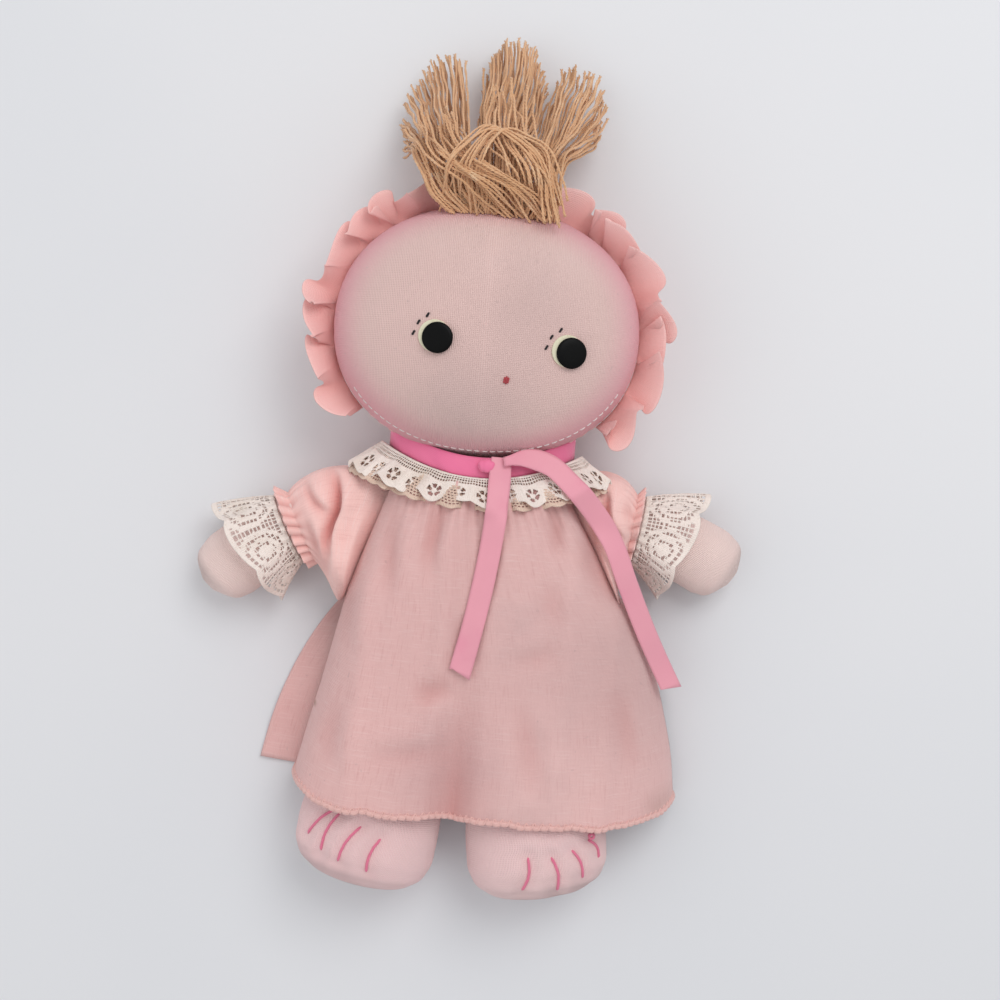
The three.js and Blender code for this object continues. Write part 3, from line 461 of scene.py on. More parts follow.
def tubes_object(name, paths, radii, sides=6, taper=0.0):
    """Several round tubes joined in one piece, of one radius or of one each, tapered at their ends."""
    vertices, faces, uvs = [], [], []
    radii = radii if isinstance(radii, list) else [radii] * len(paths)
    for path, thick in zip(paths, radii):
        some, their_faces, their_uvs = tube_data(np.asarray(path) + HOME, thick, sides, taper)
        faces += [tuple(i + len(vertices) for i in face) for face in their_faces]
        vertices += some
        uvs += their_uvs
    return mesh_object(name, vertices, faces, uvs)


def plied(path, turn_start):
    """The two plies of a twisted yarn along a path, which come apart at its cut end."""
    tangents = tangents_of(path)
    side = np.cross(tangents, (0.0, 0.0, 1.0))
    side /= np.maximum(np.linalg.norm(side, axis=1), 1e-9)[:, None]
    up = np.cross(side, tangents)
    lengths = distances(path)
    angle = (TURN * lengths / HAIR.twist + turn_start)[:, None]
    loose = 0.85 + 0.5 * np.clip((lengths - lengths[-1]) / HAIR.fray + 1, 0, 1) ** 2
    offset = HAIR.ply * loose[:, None] * (side * np.cos(angle) + up * np.sin(angle))
    return path + offset, path - offset


def creases_at(places, creases):
    """How deep a set of creases lies at each place, and how far the cloth folds over them from one side."""
    depth = np.zeros(places.shape[:-1])
    pull = np.zeros(places.shape)
    for *line, deep, wide in creases:
        path = smooth_path(line, 40)
        gaps = np.linalg.norm(places[..., None, :] - path, axis=-1)
        nearest = gaps.argmin(axis=-1)
        tangent = tangents_of(path)[nearest]
        square = np.stack((-tangent[..., 1], tangent[..., 0]), axis=-1)
        gap = gaps.min(axis=-1) / wide
        side = gap * np.sign(((places - path[nearest]) * square).sum(axis=-1))
        fading = 0.1 + 0.9 * np.sin(np.pi * nearest / (len(path) - 1))
        lip = np.exp(-((side - 1.5) ** 2))
        deep *= MM
        depth += deep * fading * (np.exp(-(gap**2)) - 0.5 * lip)
        pull -= (0.45 * deep * fading * lip)[..., None] * square
    return depth, pull


def mark_crease_shade(piece, depth, full):
    """Keeps how deep each point of a grid lies in its creases, for the painted shade that darkens the cloth
    there.
    """
    values = np.zeros(len(piece.data.vertices), dtype=np.float32)
    values[:np.size(depth)] = np.clip(np.ravel(depth) / full, 0, 1)
    piece.data.attributes.new("crease", "FLOAT", "POINT").data.foreach_set("value", values)


class Lay:
    """Finds the height of the highest of some pieces under a place on the doll's plan."""

    def __init__(self, *pieces):
        self.trees = [
            BVHTree.FromPolygons([v.co for v in mesh.vertices], [tuple(p.vertices) for p in mesh.polygons])
            for mesh in (piece.data for piece in pieces)
        ]

    def hit(self, x, y):
        """The highest point there and its normal, in the doll's plan."""
        best = (np.array((x, y, 0.0)), np.array((0.0, 0.0, 1.0)))
        start = Vector((x + HOME[0], y + HOME[1], 1.0))
        for tree in self.trees:
            point, normal, _, _ = tree.ray_cast(start, Vector((0, 0, -1)))
            if point is not None and point.z > best[0][2]:
                normal = np.array(normal) * (1 if normal.z > 0 else -1)
                best = (np.array(point) - HOME, normal)
        return best

    def height(self, x, y, radius=0.0):
        spots = ((0, 0), (1, 0), (-1, 0), (0, 1), (0, -1)) if radius else ((0, 0),)
        return max(self.hit(x + a * radius, y + b * radius)[0][2] for a, b in spots)


# Materials


class Look:
    """A node material under construction."""

    def __init__(self, name, colour, roughness=0.9, sheen=0.25, coat=0.0):
        self.material = bpy.data.materials.new(name)
        self.material.use_nodes = True
        self.tree = self.material.node_tree
        self.shader = self.tree.nodes["Principled BSDF"]
        self.fill(self.shader, {
            "Roughness": roughness, "Sheen Weight": sheen, "Sheen Roughness": 0.5, "Coat Weight": coat,
            "Specular IOR Level": 0.25,
        })
        self.colour = linear(colour)
        self.height = 0.0

    def fill(self, node, inputs):
        """Gives each named input of a node its value, or the link that it is fed by."""
        for socket, value in inputs.items():
            if isinstance(value, bpy.types.NodeSocket):
                self.tree.links.new(value, node.inputs[socket])
            else:
                node.inputs[socket].default_value = value

    def add(self, kind, output, inputs, **settings):
        """One output of a new node."""
        node = self.tree.nodes.new(kind)
        for key, value in settings.items():
            setattr(node, key, value)
        self.fill(node, inputs)
        return node.outputs[output]

    def coordinates(self, scale=(1, 1, 1), uv=True, turned=0.0):
        place = self.add("ShaderNodeTexCoord", "UV" if uv else "Object", {})
        inputs = {"Vector": place, "Scale": scale, "Rotation": (0, 0, turned)}
        return self.add("ShaderNodeMapping", "Vector", inputs)

    def bands(self, pitch, direction="X", distortion=0.0, turned=0.0):
        """Stripes of a real pitch across the cloth."""
        inputs = {"Scale": TURN / (20 * pitch), "Distortion": distortion, "Detail": 2}
        inputs["Vector"] = self.coordinates(turned=turned)
        return self.add("ShaderNodeTexWave", "Fac", inputs, bands_direction=direction)

    def stored(self, name):
        """A value that the mesh keeps at each point."""
        return self.add("ShaderNodeAttribute", "Fac", {}, attribute_name=name)

    def radius(self):
        """Distance from the middle of a round panel's UV."""
        return self.add("ShaderNodeVectorMath", "Value", {0: self.coordinates()}, operation="LENGTH")

    def near(self, x, y, reach):
        """Nearness to a place on the doll's plan, fading out over a reach, all in millimetres."""
        inputs = {0: self.coordinates((1, 1, 0), uv=False), 1: (x * MM + HOME[0], y * MM + HOME[1], 0)}
        gap = self.add("ShaderNodeVectorMath", "Value", inputs, operation="DISTANCE")
        return self.ramp(gap, reach * MM, 0)

    def noise(self, scale, stretch=(1, 1, 1), uv=False, detail=3.0):
        inputs = {"Scale": scale, "Detail": detail, "Vector": self.coordinates(stretch, uv)}
        return self.add("ShaderNodeTexNoise", "Fac", inputs)

    def math(self, operation, a, b):
        return self.add("ShaderNodeMath", 0, {0: a, 1: b}, operation=operation)

    def ramp(self, value, low, high):
        inputs = {"Value": value, "From Min": low, "From Max": high}
        return self.add("ShaderNodeMapRange", "Result", inputs, interpolation_type="SMOOTHSTEP")

    def tint(self, colour, amount, most=1.0):
        """Mixes another colour in by a value."""
        inputs = {"Factor": self.math("MULTIPLY", amount, most), "A": self.colour, "B": linear(colour)}
        self.colour = self.add("ShaderNodeMix", "Result", inputs, data_type="RGBA")

    def speckle(self, colour, low, high, most, scale, **texture):
        """Mixes another colour in, in soft spots of one size."""
        self.tint(colour, self.ramp(self.noise(scale, **texture), low, high), most)

    def raise_by(self, value, weight):
        self.height = self.math("ADD", self.height, self.math("MULTIPLY", value, weight))

    def finish(self, depth):
        bump = self.add("ShaderNodeBump", "Normal", {"Distance": depth, "Height": self.height})
        self.fill(self.shader, {"Base Color": self.colour, "Normal": bump})
        return self.material


def linear(colour):
    """An sRGB hex colour as linear numbers, with full cover."""
    parts = [int(colour[i:i + 2], 16) / 255 for i in (1, 3, 5)]
    return *(p / 12.92 if p <= 0.04045 else ((p + 0.055) / 1.055) ** 2.4 for p in parts), 1


def knit_look(name, colour, shade, dirt, is_face):
    """Fine ribbed jersey: wales along the cloth, small stitches across, slight soiling; on the face, painted
    sheen and shade that turn it darker pink towards its rim.
    """
    look = Look(name, colour, 0.92, 0.3)
    wales = look.bands(0.75 * MM, "X", 0.5)
    stitches = look.bands(0.9 * MM, "Y", 0.9)
    look.tint(shade, look.ramp(wales, 0.6, 0.0), 0.32)
    look.tint(shade, look.ramp(stitches, 0.5, 0.0), 0.12)
    look.speckle("#f8ddd8", 0.5, 0.8, 0.3, 14)
    if is_face:
        # Painted sheen and shade: the face turns darker pink towards its rim.
        look.tint("#f39cac", look.ramp(look.radius(), HEAD.width * 0.34, HEAD.width * 0.52), 0.7)
        for x, y, reach, most in FACE_SOIL:
            look.tint(dirt, look.near(x, y, reach), most)
    look.speckle(dirt, 0.5, 0.8, 0.22, 26, detail=4)
    look.speckle(dirt, 0.66, 0.78, 0.25, 420, detail=2)
    look.raise_by(wales, 1.0)
    look.raise_by(stitches, 0.4)
    look.raise_by(look.noise(900, uv=True), 0.4)
    return look.finish(0.25 * MM)


def woven_look(name, colour, shade, light, deep, dirt=None, strength=1.0):
    """Plain woven cotton with uneven threads both ways and painted shade in its creases; given dirt, also
    stains and the gown's painted shadow and shade.
    """
    look = Look(name, colour, 0.88, 0.25)
    warp = look.noise(1.0, (1500, 90, 1), uv=True, detail=2)
    weft = look.noise(1.0, (90, 1500, 1), uv=True, detail=2)
    look.tint(shade, look.ramp(warp, 0.5, 0.75), 0.4 * strength)
    look.tint(light, look.ramp(weft, 0.5, 0.75), 0.4 * strength)
    look.speckle(light, 0.45, 0.75, 0.35, 9)
    if dirt:
        look.speckle(dirt, 0.55, 0.8, 0.4, 17, detail=4)
        # Gown marks: stains, plus painted shadow between the legs and painted shade on the doll's left side
        # of the skirt.
        for soil_and_shade, x, y, reach, most in GOWN_SOIL_AND_SHADE:
            look.tint(soil_and_shade, look.near(x, y, reach), most)
        look.speckle(dirt, 0.7, 0.78, 0.35, 260, detail=2)
    # Painted shade in creases: the cloth is darker where it lies deep in its creases.
    look.tint(deep, look.stored("crease"), 0.65)
    look.raise_by(warp, 0.6)
    look.raise_by(weft, 0.6)
    look.raise_by(look.bands(0.6 * MM, "X", 1.0), 0.5)
    look.raise_by(look.bands(0.6 * MM, "Y", 1.0), 0.5)
    return look.finish(0.16 * MM)


def lace_look(name, colour):
    look = Look(name, colour, 0.7, 0.2)
    look.speckle("#d8c6b2", 0.45, 0.8, 0.4, 60)
    look.speckle("#c9b4a0", 0.55, 0.75, 0.35, 900, uv=True)
    look.raise_by(look.noise(1800, uv=True, detail=4), 1.0)
    look.raise_by(look.bands(0.8 * MM, "X", 1.5), 0.5)
    return look.finish(0.25 * MM)


def satin_look(name, colour, shade):
    look = Look(name, colour, 0.4, 0.3)
    twill = look.bands(0.5 * MM, "X", 0.3, 0.6)
    look.speckle(shade, 0.45, 0.8, 0.4, 40)
    look.tint("#f7b0c5", look.ramp(twill, 0.3, 0.9), 0.25)
    look.raise_by(twill, 0.6)
    look.raise_by(look.noise(1.0, (400, 60, 1), uv=True), 0.6)
    return look.finish(0.06 * MM)


def yarn_look():
    look = Look("plied_yarn", "#e3b48a", 0.95, 0.35)
    fibres = look.noise(1.0, (2500, 500, 1), uv=True, detail=3)
    look.tint("#b98454", look.ramp(fibres, 0.52, 0.75), 0.5)
    look.speckle("#c08c5f", 0.42, 0.7, 0.5, 55)
    look.speckle("#f3d9b8", 0.55, 0.8, 0.5, 160)
    look.raise_by(fibres, 1.0)
    return look.finish(0.2 * MM)


def thread_look(name, colour, shade, roughness=0.6):
    """Stranded embroidery thread with fine lines along it."""
    look = Look(name, colour, roughness, 0.2)
    strands = look.bands(0.45 * MM, "X", 1.5, 0.5)
    look.tint(shade, look.ramp(strands, 0.6, 0.1), 0.6)
    look.speckle(shade, 0.55, 0.75, 0.3, 500)
    look.raise_by(strands, 1.0)
    return look.finish(0.12 * MM)


def flock_look():
    look = Look("flocked_eye", "#020202", 0.6, 0.0, 0.12)
    look.fill(look.shader, {"Specular IOR Level": 0.08, "Coat Roughness": 0.35})
    look.speckle("#141114", 0.64, 0.8, 0.4, 1500, detail=4)
    look.raise_by(look.noise(1600, detail=4), 1.0)
    return look.finish(0.15 * MM)


def felt_look(name, colour, shade):
    look = Look(name, colour, 0.95, 0.3)
    look.speckle(shade, 0.5, 0.75, 0.4, 900, detail=4)
    look.raise_by(look.noise(1200, detail=4), 1.0)
    return look.finish(0.2 * MM)


def floor_look():
    look = Look("pale_floor", "#e6e6e8", 0.9, 0.0)
    look.speckle("#dcdee2", 0.35, 0.7, 0.5, 2.2)
    look.raise_by(look.noise(40), 1.0)
    return look.finish(0.05 * MM)


LOOKS = {
    "face": knit_look("face_knit", "#eecdc6", "#d3a39f", "#bfa6a3", True),
    "body_knit": knit_look("limb_knit", "#ffe5de", "#f2c6c0", "#ead0c9", False),
    "leg_knit": knit_look("leg_knit", "#ffdbda", "#f6bcbe", "#efc8c6", False),
    "gown_cloth": woven_look("gown_cotton", "#e9bbb7", "#d69d9a", "#f3d1cd", "#d29692", "#bd9d9c"),
    "sleeve_cloth": woven_look("sleeve_cotton", "#ffd0c9", "#ecb3ad", "#ffe3de", "#dc928c"),
    "bonnet_cloth": woven_look("bonnet_cotton", "#ffcec9", "#f4b0aa", "#ffe2de", "#e4918b", None, 0.5),
    "lace": lace_look("lace_thread", "#f9ece3"),
    "net": lace_look("lace_net", "#e6c9b6"),
    "satin": satin_look("satin_ribbon", "#ea9fac", "#dc7796"),
    # Painted shade and reflected pink: a darker, more saturated copy of the satin for the neck loop and knot
    # under the chin.
    "satin_in_shade": satin_look("satin_neckline_in_shade", "#f2749f", "#e2568c"),
    "yarn": yarn_look(),
    "flock": flock_look(),
    "felt": felt_look("eye_felt", "#e2dcc0", "#c5bb9a"),
    "filling": felt_look("stuffing_fibre", "#f6f4ee", "#dedbd2"),
    "dark_thread": thread_look("lash_thread", "#1d1519", "#07050a"),
    "red_thread": thread_look("mouth_thread", "#c04a50", "#8d2f3a"),
    "toe_thread": thread_look("toe_thread", "#f689a6", "#e26c92", 0.5),
    "hem_thread": thread_look("hem_thread", "#f7c9c2", "#e9b0a9"),
    "seam_thread": thread_look("seam_thread", "#f9efec", "#e3c9c4"),
    "elastic_tape": felt_look("elastic_cloth", "#f4f0ea", "#d9d3ca"),
}


# Finishing of each piece


def dress(piece, look, *nodes, slot=None, fill=None, body=None):
    """Gives a piece its material, hides the nodes that it stands for and attaches it to its body; slot and
    fill are not used.
    """
    piece.data.materials.clear()
    piece.data.materials.append(LOOKS[look])
    if nodes:
        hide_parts(*nodes)
    if body:
        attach(piece, body)
    return piece


def sewn_sheet(
    name, points, cloth, look, *nodes, held, below, slot=None, keep=None, creases=None, loop=False, least=0.0,
):
    """A piece of cloth over a grid of points, with its thickness, creases, material and nodes; held, below,
    slot and least (its flat size) are not used.
    """
    piece = grid_object(name, points, loop=loop, keep=keep)
    # Creases here only darken the cloth's colour: painted shade by crease depth.
    if creases:
        mark_crease_shade(piece, *creases)
    thicken(piece, cloth)
    dress(piece, look, *nodes, slot=slot)
    return piece


def stitch(lay, spots, raised, sunk):
    """A thread over some places of the cloth, which goes into it at both ends."""
    path = []
    for i, spot in enumerate(spots):
        point, normal = lay.hit(*spot)
        path.append(point + normal * (sunk if i in (0, len(spots) - 1) else raised))
    return path


# The stuffed forms


def ring(middle, across, half_width, half_height, count, lowest):
    """One ring of a form that lies flat on what is below it."""
    angles = round_angles(count)
    point = middle + np.outer(half_width * np.cos(angles), across)
    point[:, 2] = np.maximum(lowest, middle[2] + half_height * np.sin(angles))
    return point


def close_places(count):
    """Places along a form, closer together at both ends."""
    return (1 - np.cos(math.pi * np.linspace(0, 1, count))) / 2


def stuffed(name, table, size, route, places, columns, shape=None):
    """A stuffed limb along its route, as rows of rings."""
    rings = []
    lying = FLOOR_OVER_GOWN - SETTLED + size.thickness / 2
    for along, (width, thickness, lift) in zip(places, smooth_table(table, places)):
        middle, across = route(along)
        middle[2] = lying + (TORSO_Z - lying) * lift
        half_height = max(thickness * size.thickness / 2, GAP)
        rings.append(ring(middle, across, width * size.width / 2, half_height, columns, FLOOR_OVER_GOWN))
    points = np.array(rings) if shape is None else shape(np.array(rings))
    return closed_form(name, points, girth_uv(points))


def make_torso():
    places = close_places(60)
    rows = []
    for along, (width, thickness) in zip(places, smooth_table(TORSO_SHARES, places)):
        middle = np.array((0.0, TORSO.top_y - along * TORSO.length, TORSO_Z))
        half_height = max(thickness * TORSO.thickness / 2, GAP)
        rows.append(ring(middle, np.array((1.0, 0, 0)), width * TORSO.width / 2, half_height, 64, 0))
    piece = closed_form("torso_skin", rows, girth_uv(np.array(rows)))
    nodes = ("torso_front_panel", "torso_back_panel", "torso_stuffing")
    return dress(piece, "body_knit", *nodes, fill=0.8, body="torso")


def make_hip_seam():
    """The pressed seam that both legs hang from."""
    low, high = (np.array(corner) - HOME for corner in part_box("hip_seam"))
    count = 60
    x = np.linspace(low[0], high[0], count)
    radius = (high[2] - low[2]) / 2
    rows = []
    for angle in np.linspace(0, TURN, 17)[:-1]:
        y = (low[1] + high[1]) / 2 + (high[1] - low[1]) / 2 * signed_power(np.cos(angle), 0.7)
        z = TORSO_Z + radius * signed_power(np.sin(angle), 0.7) * (1 - 0.12 * waves(x / (9 * MM), 3))
        rows.append(np.column_stack((x, np.full(count, y), z)))
    piece = closed_form("hip_seam_fold", np.array(rows).transpose(1, 0, 2))
    dress(piece, "body_knit", "hip_seam", fill=0.2, body="legs")


def make_neck():
    """The gathered tube of knit between the body and the head."""
    columns, angles = 72, round_angles(72)
    rows = []
    for y in np.linspace(NECK.low_y, NECK.high_y, 24):
        waist = 1 - 0.08 * math.sin(math.pi * (y - NECK.low_y) / (NECK.high_y - NECK.low_y))
        radius = NECK.radius * waist * (1 + 0.03 * np.sin(18 * angles))
        rows.append(np.column_stack((
            radius * np.cos(angles), np.full(columns, y), NECK.z + radius * np.sin(angles))))
    dress(closed_form("neck_tube", rows), "body_knit", "neck", fill=0.7, body="neck")


def half_torso(y):
    share = smooth_table(TORSO_SHARES, [(TORSO.top_y - y) / TORSO.length])[0][0]
    return share * TORSO.width / 2


class ArmRoute:
    """The route of an arm from the side seam out to the hand."""

    def __init__(self, name, side):
        self.side = side
        top, end = (np.array((side * half_torso(y), y)) for y in (ARM.seam_top_y, ARM.seam_end_y))
        self.seam = unit(top - end)
        outwards = np.array((side * self.seam[1], -side * self.seam[0]))
        root = (top + end) / 2 + outwards * ARM.ease
        elbow, tip = np.array(ARM_ENDS[name]) * MM
        t = np.linspace(0, 1, 200)[:, None]
        self.fine = root * (1 - t) ** 2 + 2 * elbow * t * (1 - t) + tip * t**2
        self.lengths = distances(self.fine)
        self.length = self.lengths[-1]

    def at(self, share):
        place = np.clip(share, 0, 1) * self.length
        places = np.clip((place, place - MM, place + MM), 0, self.length)
        spot, before, after = at_places(places, self.lengths, self.fine)
        tangent = unit(after - before)
        square = np.array((-self.side * tangent[1], self.side * tangent[0]))
        blend = min(1.0, share / 0.3)
        across = unit(self.seam * (1 - blend) + square * blend)
        return np.array((*spot, 0.0)), np.array((*across, 0.0))


def arm_at(share):
    """Half the arm's width and height and the height of its middle at a place."""
    width, thickness, lift = smooth_table(ARM_SHARES, [share])[0]
    lying = FLOOR_OVER_GOWN - SETTLED + ARM.thickness / 2
    return width * ARM.width / 2, thickness * ARM.thickness / 2, lying + (TORSO_Z - lying) * lift


def make_arm(name, side):
    route = ArmRoute(name, side)
    piece = stuffed(f"{name}_arm_knit", ARM_SHARES, ARM, route.at, close_places(60), 56)
    dress(piece, "body_knit", f"{name}_arm_skin", f"{name}_arm_stuffing", fill=0.8, body=f"{name}_arm")
    return route


def sleeve_points(name, side, route):
    """A puffed sleeve from the armhole's curved seam to its cuff, with a small ruffle past the elastic."""
    rows, columns = 76, 170
    cuff, cuff_across = route.at(CUFF_SHARE[name])
    wrist_width, wrist_height, wrist_z = arm_at(CUFF_SHARE[name])
    seam_x, seam_y = SEAM_ENDS[side]
    top = np.array((side * (GOWN.neck_half - SLEEVE.tuck), GOWN.top_y, 0))
    end = np.array((side * (seam_x - SLEEVE.tuck), seam_y, 0))
    root_half = np.linalg.norm(top - end) / 2
    seam_across, seam_middle = (top - end) / (2 * root_half), (top + end) / 2
    angles = round_angles(columns)
    low, full = FLOOR_OVER_GOWN + SLEEVE.low, SLEEVE.height / 2
    gathers = np.sin(SLEEVE.gathers * angles + 2 * waves(angles / 1.7, 5 + side))
    out, creased = [], []
    for way in np.linspace(0, 1, rows):
        held = min(1.0, way / SLEEVE.elastic_place)
        past = max(0.0, way - SLEEVE.elastic_place) / (1 - SLEEVE.elastic_place)
        gather = held**SLEEVE.tightening
        middle = seam_middle + (cuff - seam_middle) * way
        across = unit(seam_across + (cuff_across - seam_across) * held)
        swell = SLEEVE.puff * math.sin(math.pi * held) ** 0.8
        half_width = root_half + (wrist_width + SLEEVE.ease - root_half) * gather + swell
        half_height = full + (wrist_height + SLEEVE.ease - full) * gather
        box = SLEEVE_BOX_SHARE + (1 - SLEEVE_BOX_SHARE) * gather
        cuff_z = max(wrist_z, half_height + low)
        middle[2] = low + full + (cuff_z - low - full) * gather
        extra = SLEEVE.gather * gather**2 * gathers * (1 + past) + SLEEVE.flare * past
        sag = SLEEVE.sag * np.maximum(0, -np.cos(angles)) ** 2 * math.sin(math.pi * held**1.3)
        extra = extra + sag + SLEEVE.uneven * (1 - gather) * waves(angles / 2.4 + way * 0.4, 21 + side)
        place = signed_power(np.cos(angles), box)
        points = middle + np.outer((half_width + extra) * place, across)
        points[:, 2] = middle[2] + (half_height + extra) * signed_power(np.sin(angles), box)
        folds, pull = creases_at(points[:, :2] / MM, SLEEVE_FOLDS[name])
        upper = (1 - gather**2) * np.maximum(0, np.sin(angles)) ** 0.7
        points[:, 2] -= folds * upper
        points[:, :2] += pull * upper[:, None] * min(1, way / SLEEVE.pull_share)
        # Painted shade: the sleeve darkens in its creases and, by the pucker amount, in the hollows of the
        # gathers by the elastic.
        creased.append(folds * upper + SLEEVE.pucker * gather**3 * np.maximum(0, -gathers))
        armhole = GOWN.neck_rise + (GOWN.seam_rise - GOWN.neck_rise) * (1 - place) / 2 - 0.8 * MM
        root_z = low + (armhole - low) * np.maximum(0, np.sin(angles)) ** 0.35
        rise = min(1.0, way / SLEEVE.root_share)
        rise = rise * rise * (3 - 2 * rise)
        points[:, 2] = np.maximum(low, root_z + (points[:, 2] - root_z) * rise)
        out.append(points)
    return np.array(out), creased, seam_middle, seam_across


def make_sleeve(name, side, route):
    points, creased, seam_middle, seam_across = sleeve_points(name, side, route)
    piece = sewn_sheet(
        f"{name}_puff_sleeve", points, CLOTH, "sleeve_cloth", f"{name}_sleeve", held="gathered",
        below=f"{name}_arm_knit", slot="gown_cloth", creases=(creased, 6 * MM), loop=True)
    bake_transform(piece)
    return piece


def band_points(route, share, length, rows, columns, clearance, grow):
    """Rings of a band round an arm from one place outwards, each with its own growth."""
    start_width, start_height, _ = arm_at(share)
    angles = round_angles(columns)
    out = []
    for way in np.linspace(0, 1, rows):
        row = []
        for angle, far in zip(angles, length(angles)):
            place = share + way * far / route.length
            middle, across = route.at(place)
            width, height, z = arm_at(min(1.0, place))
            extra = clearance + grow(way, angle)
            point = middle + across * (max(width, start_width) + extra) * math.cos(angle)
            point[2] = max(z + (max(height, start_height) + extra) * math.sin(angle), 0.5 * MM)
            row.append(point)
        out.append(row)
    return np.array(out)


def lace_holes(u, v, scallop, width):
    """Which cells of a lace band stay: concentric ovals in each scallop, net between them, a corded edge."""
    centre_u = (np.floor(u / scallop) + 0.5) * scallop
    du = (u - centre_u) / (scallop * 0.5)
    dv = (v - width * 0.55) / (width * 0.5)
    oval = np.hypot(du, dv)
    net = (np.floor(u / CUFF_LACE.net) % 3 == 0) | (np.floor(v / CUFF_LACE.net) % 3 == 0)
    inner = np.any([(oval > low) & (oval < high) for low, high in LACE_RINGS], axis=0)
    fringe = (v > width * 0.93) | (v < width * 0.06)
    return inner | net | fringe


def make_cuff_lace(name, route):
    share = CUFF_SHARE[name] + 0.012
    width, height, _ = arm_at(share)
    scallops, full_length = CUFF_LACE.scallops, CUFF_LACE.length
    rows = round(full_length / CUFF_LACE.cell)
    girth = math.pi * (width + height) + math.pi * CUFF_LACE.flare
    columns = round(girth / CUFF_LACE.cell / scallops) * scallops

    def length(angles):
        return full_length * (0.86 + 0.14 * np.abs(np.sin(scallops * angles / 2 + 0.4)) ** 0.7)

    def grow(way, angle):
        ruffled = CUFF_LACE.ruffle * math.sin(scallops * angle + 0.8 + 0.7 * math.sin(angle))
        return way * (CUFF_LACE.flare + ruffled) + CUFF_LACE.gather * math.sin(25 * angle) * (1 - way) ** 2

    points = band_points(route, share, length, rows + 1, columns, 0.9 * MM, grow)
    cell_u = (np.arange(columns) + 0.5) * girth / columns
    cell_v = (np.arange(rows) + 0.5) * full_length / rows
    u, v = np.meshgrid(cell_u, cell_v)
    keep = lace_holes(u + 0.4 * girth / TURN * 2, v, girth / scallops, full_length)
    piece = sewn_sheet(
        f"{name}_cuff_lace_net", points, CUFF_LACE.thread, "lace", f"{name}_cuff_lace", held="gathered",
        below=f"{name}_arm_knit", keep=keep, loop=True)
    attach(piece, f"{name}_arm")


def make_elastic(name, route):
    def length(angles):
        return np.full(len(angles), 3.6 * MM)

    def grow(way, angle):
        return 0.1 * MM * math.sin(40 * angle)

    points = band_points(route, CUFF_SHARE[name] - 0.07, length, 6, 160, -0.8 * MM, grow)
    piece = grid_object(f"{name}_cuff_elastic_tape", points, loop=True)
    thicken(piece, 0.3 * MM)
    dress(piece, "elastic_tape", f"{name}_cuff_elastic", body=f"{name}_arm")


class LegRoute:
    """The route of a leg from the hip seam out to the toes."""

    def __init__(self, side):
        splay = math.radians(LEG.splay)
        self.side = side
        self.along = np.array((side * math.sin(splay), -math.cos(splay), 0.0))
        self.square = np.array((-side * self.along[1], side * self.along[0], 0.0))
        self.hip = np.array((side * LEG.hip_x, LEG_TOP_Y, 0.0))

    def at(self, share):
        bow = LEG.bow * math.sin(math.pi * share)
        across = unit(np.array((self.side, 0, 0)) * (1 - share) + self.square * share)
        return self.hip + self.along * share * LEG.length + self.square * bow, across

    def foot(self, across, along):
        """A place on the plan of the foot."""
        middle, sideways = self.at(along)
        return (middle + sideways * across * LEG.width / 2)[:2]


def stitch_plan(name, route):
    """The plan of each toe stitch, as points from the front of the foot to its back."""
    steps = np.linspace(0, 1, 14)
    plans = []
    for front, back in np.array(TOE_SHARES[name]):
        plan = np.array([route.foot(*way) for way in front + np.outer(steps, back - front)])
        square = np.array((plan[0][1] - plan[-1][1], plan[-1][0] - plan[0][0]))
        square *= -route.side * TOE.bow / np.linalg.norm(square)
        plans.append(plan + np.outer(np.sin(np.pi * steps), square))
    return plans


def groove_at(points, plans):
    """How deep the toe stitches pull the foot in at each point."""
    depth = np.zeros(points.shape[:2])
    for plan in plans:
        gaps = np.linalg.norm(points[..., None, :2] - plan[None, None], axis=3).min(axis=2)
        depth = np.maximum(depth, np.exp(-((gaps / TOE.reach) ** 2)))
    return depth


def make_leg(name, side):
    route = LegRoute(side)
    plans = stitch_plan(name, route)

    def pulled_in(points):
        upper = np.clip((points[..., 2] - TOE.groove_from) / TOE.groove_over, 0, 1)
        points[..., 2] -= TOE.groove * groove_at(points, plans) * upper
        return points

    piece = stuffed(f"{name}_leg_knit", LEG_SHARES, LEG, route.at, close_places(110), 128, pulled_in)
    nodes = (f"{name}_leg_skin", f"{name}_leg_stuffing")
    dress(piece, "leg_knit", *nodes, slot="body_knit", fill=0.85, body="legs")
    lay = Lay(piece)
    for number, plan in enumerate(plans, 1):
        path = smooth_path(stitch(lay, plan, 0.55 * TOE.radius, -0.8 * TOE.radius), 40)
        thread = tubes_object(f"{name}_toe_stitch_thread_{number}", [path], TOE.radius, 10, 0.4)
        dress(thread, "toe_thread", f"{name}_toe_stitch_{number}", body="legs")
    return piece


def make_toe_knot():
    """A French knot: a thread wound round itself."""
    low, high = (np.array(corner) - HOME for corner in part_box("left_toe_knot"))
    centre = (low + high) / 2
    t = np.linspace(0, 1, 90)
    radius, turned = TOE.knot * (0.62 - 0.12 * t), TURN * TOE.turns * t
    path = centre + np.column_stack((
        radius * np.cos(turned), radius * np.sin(turned), TOE.knot_low + TOE.knot_rise * t))
    piece = tubes_object("left_toe_french_knot", [path], TOE.radius, 8, 0.3)
    dress(piece, "toe_thread", "left_toe_knot", body="legs")


# The gown


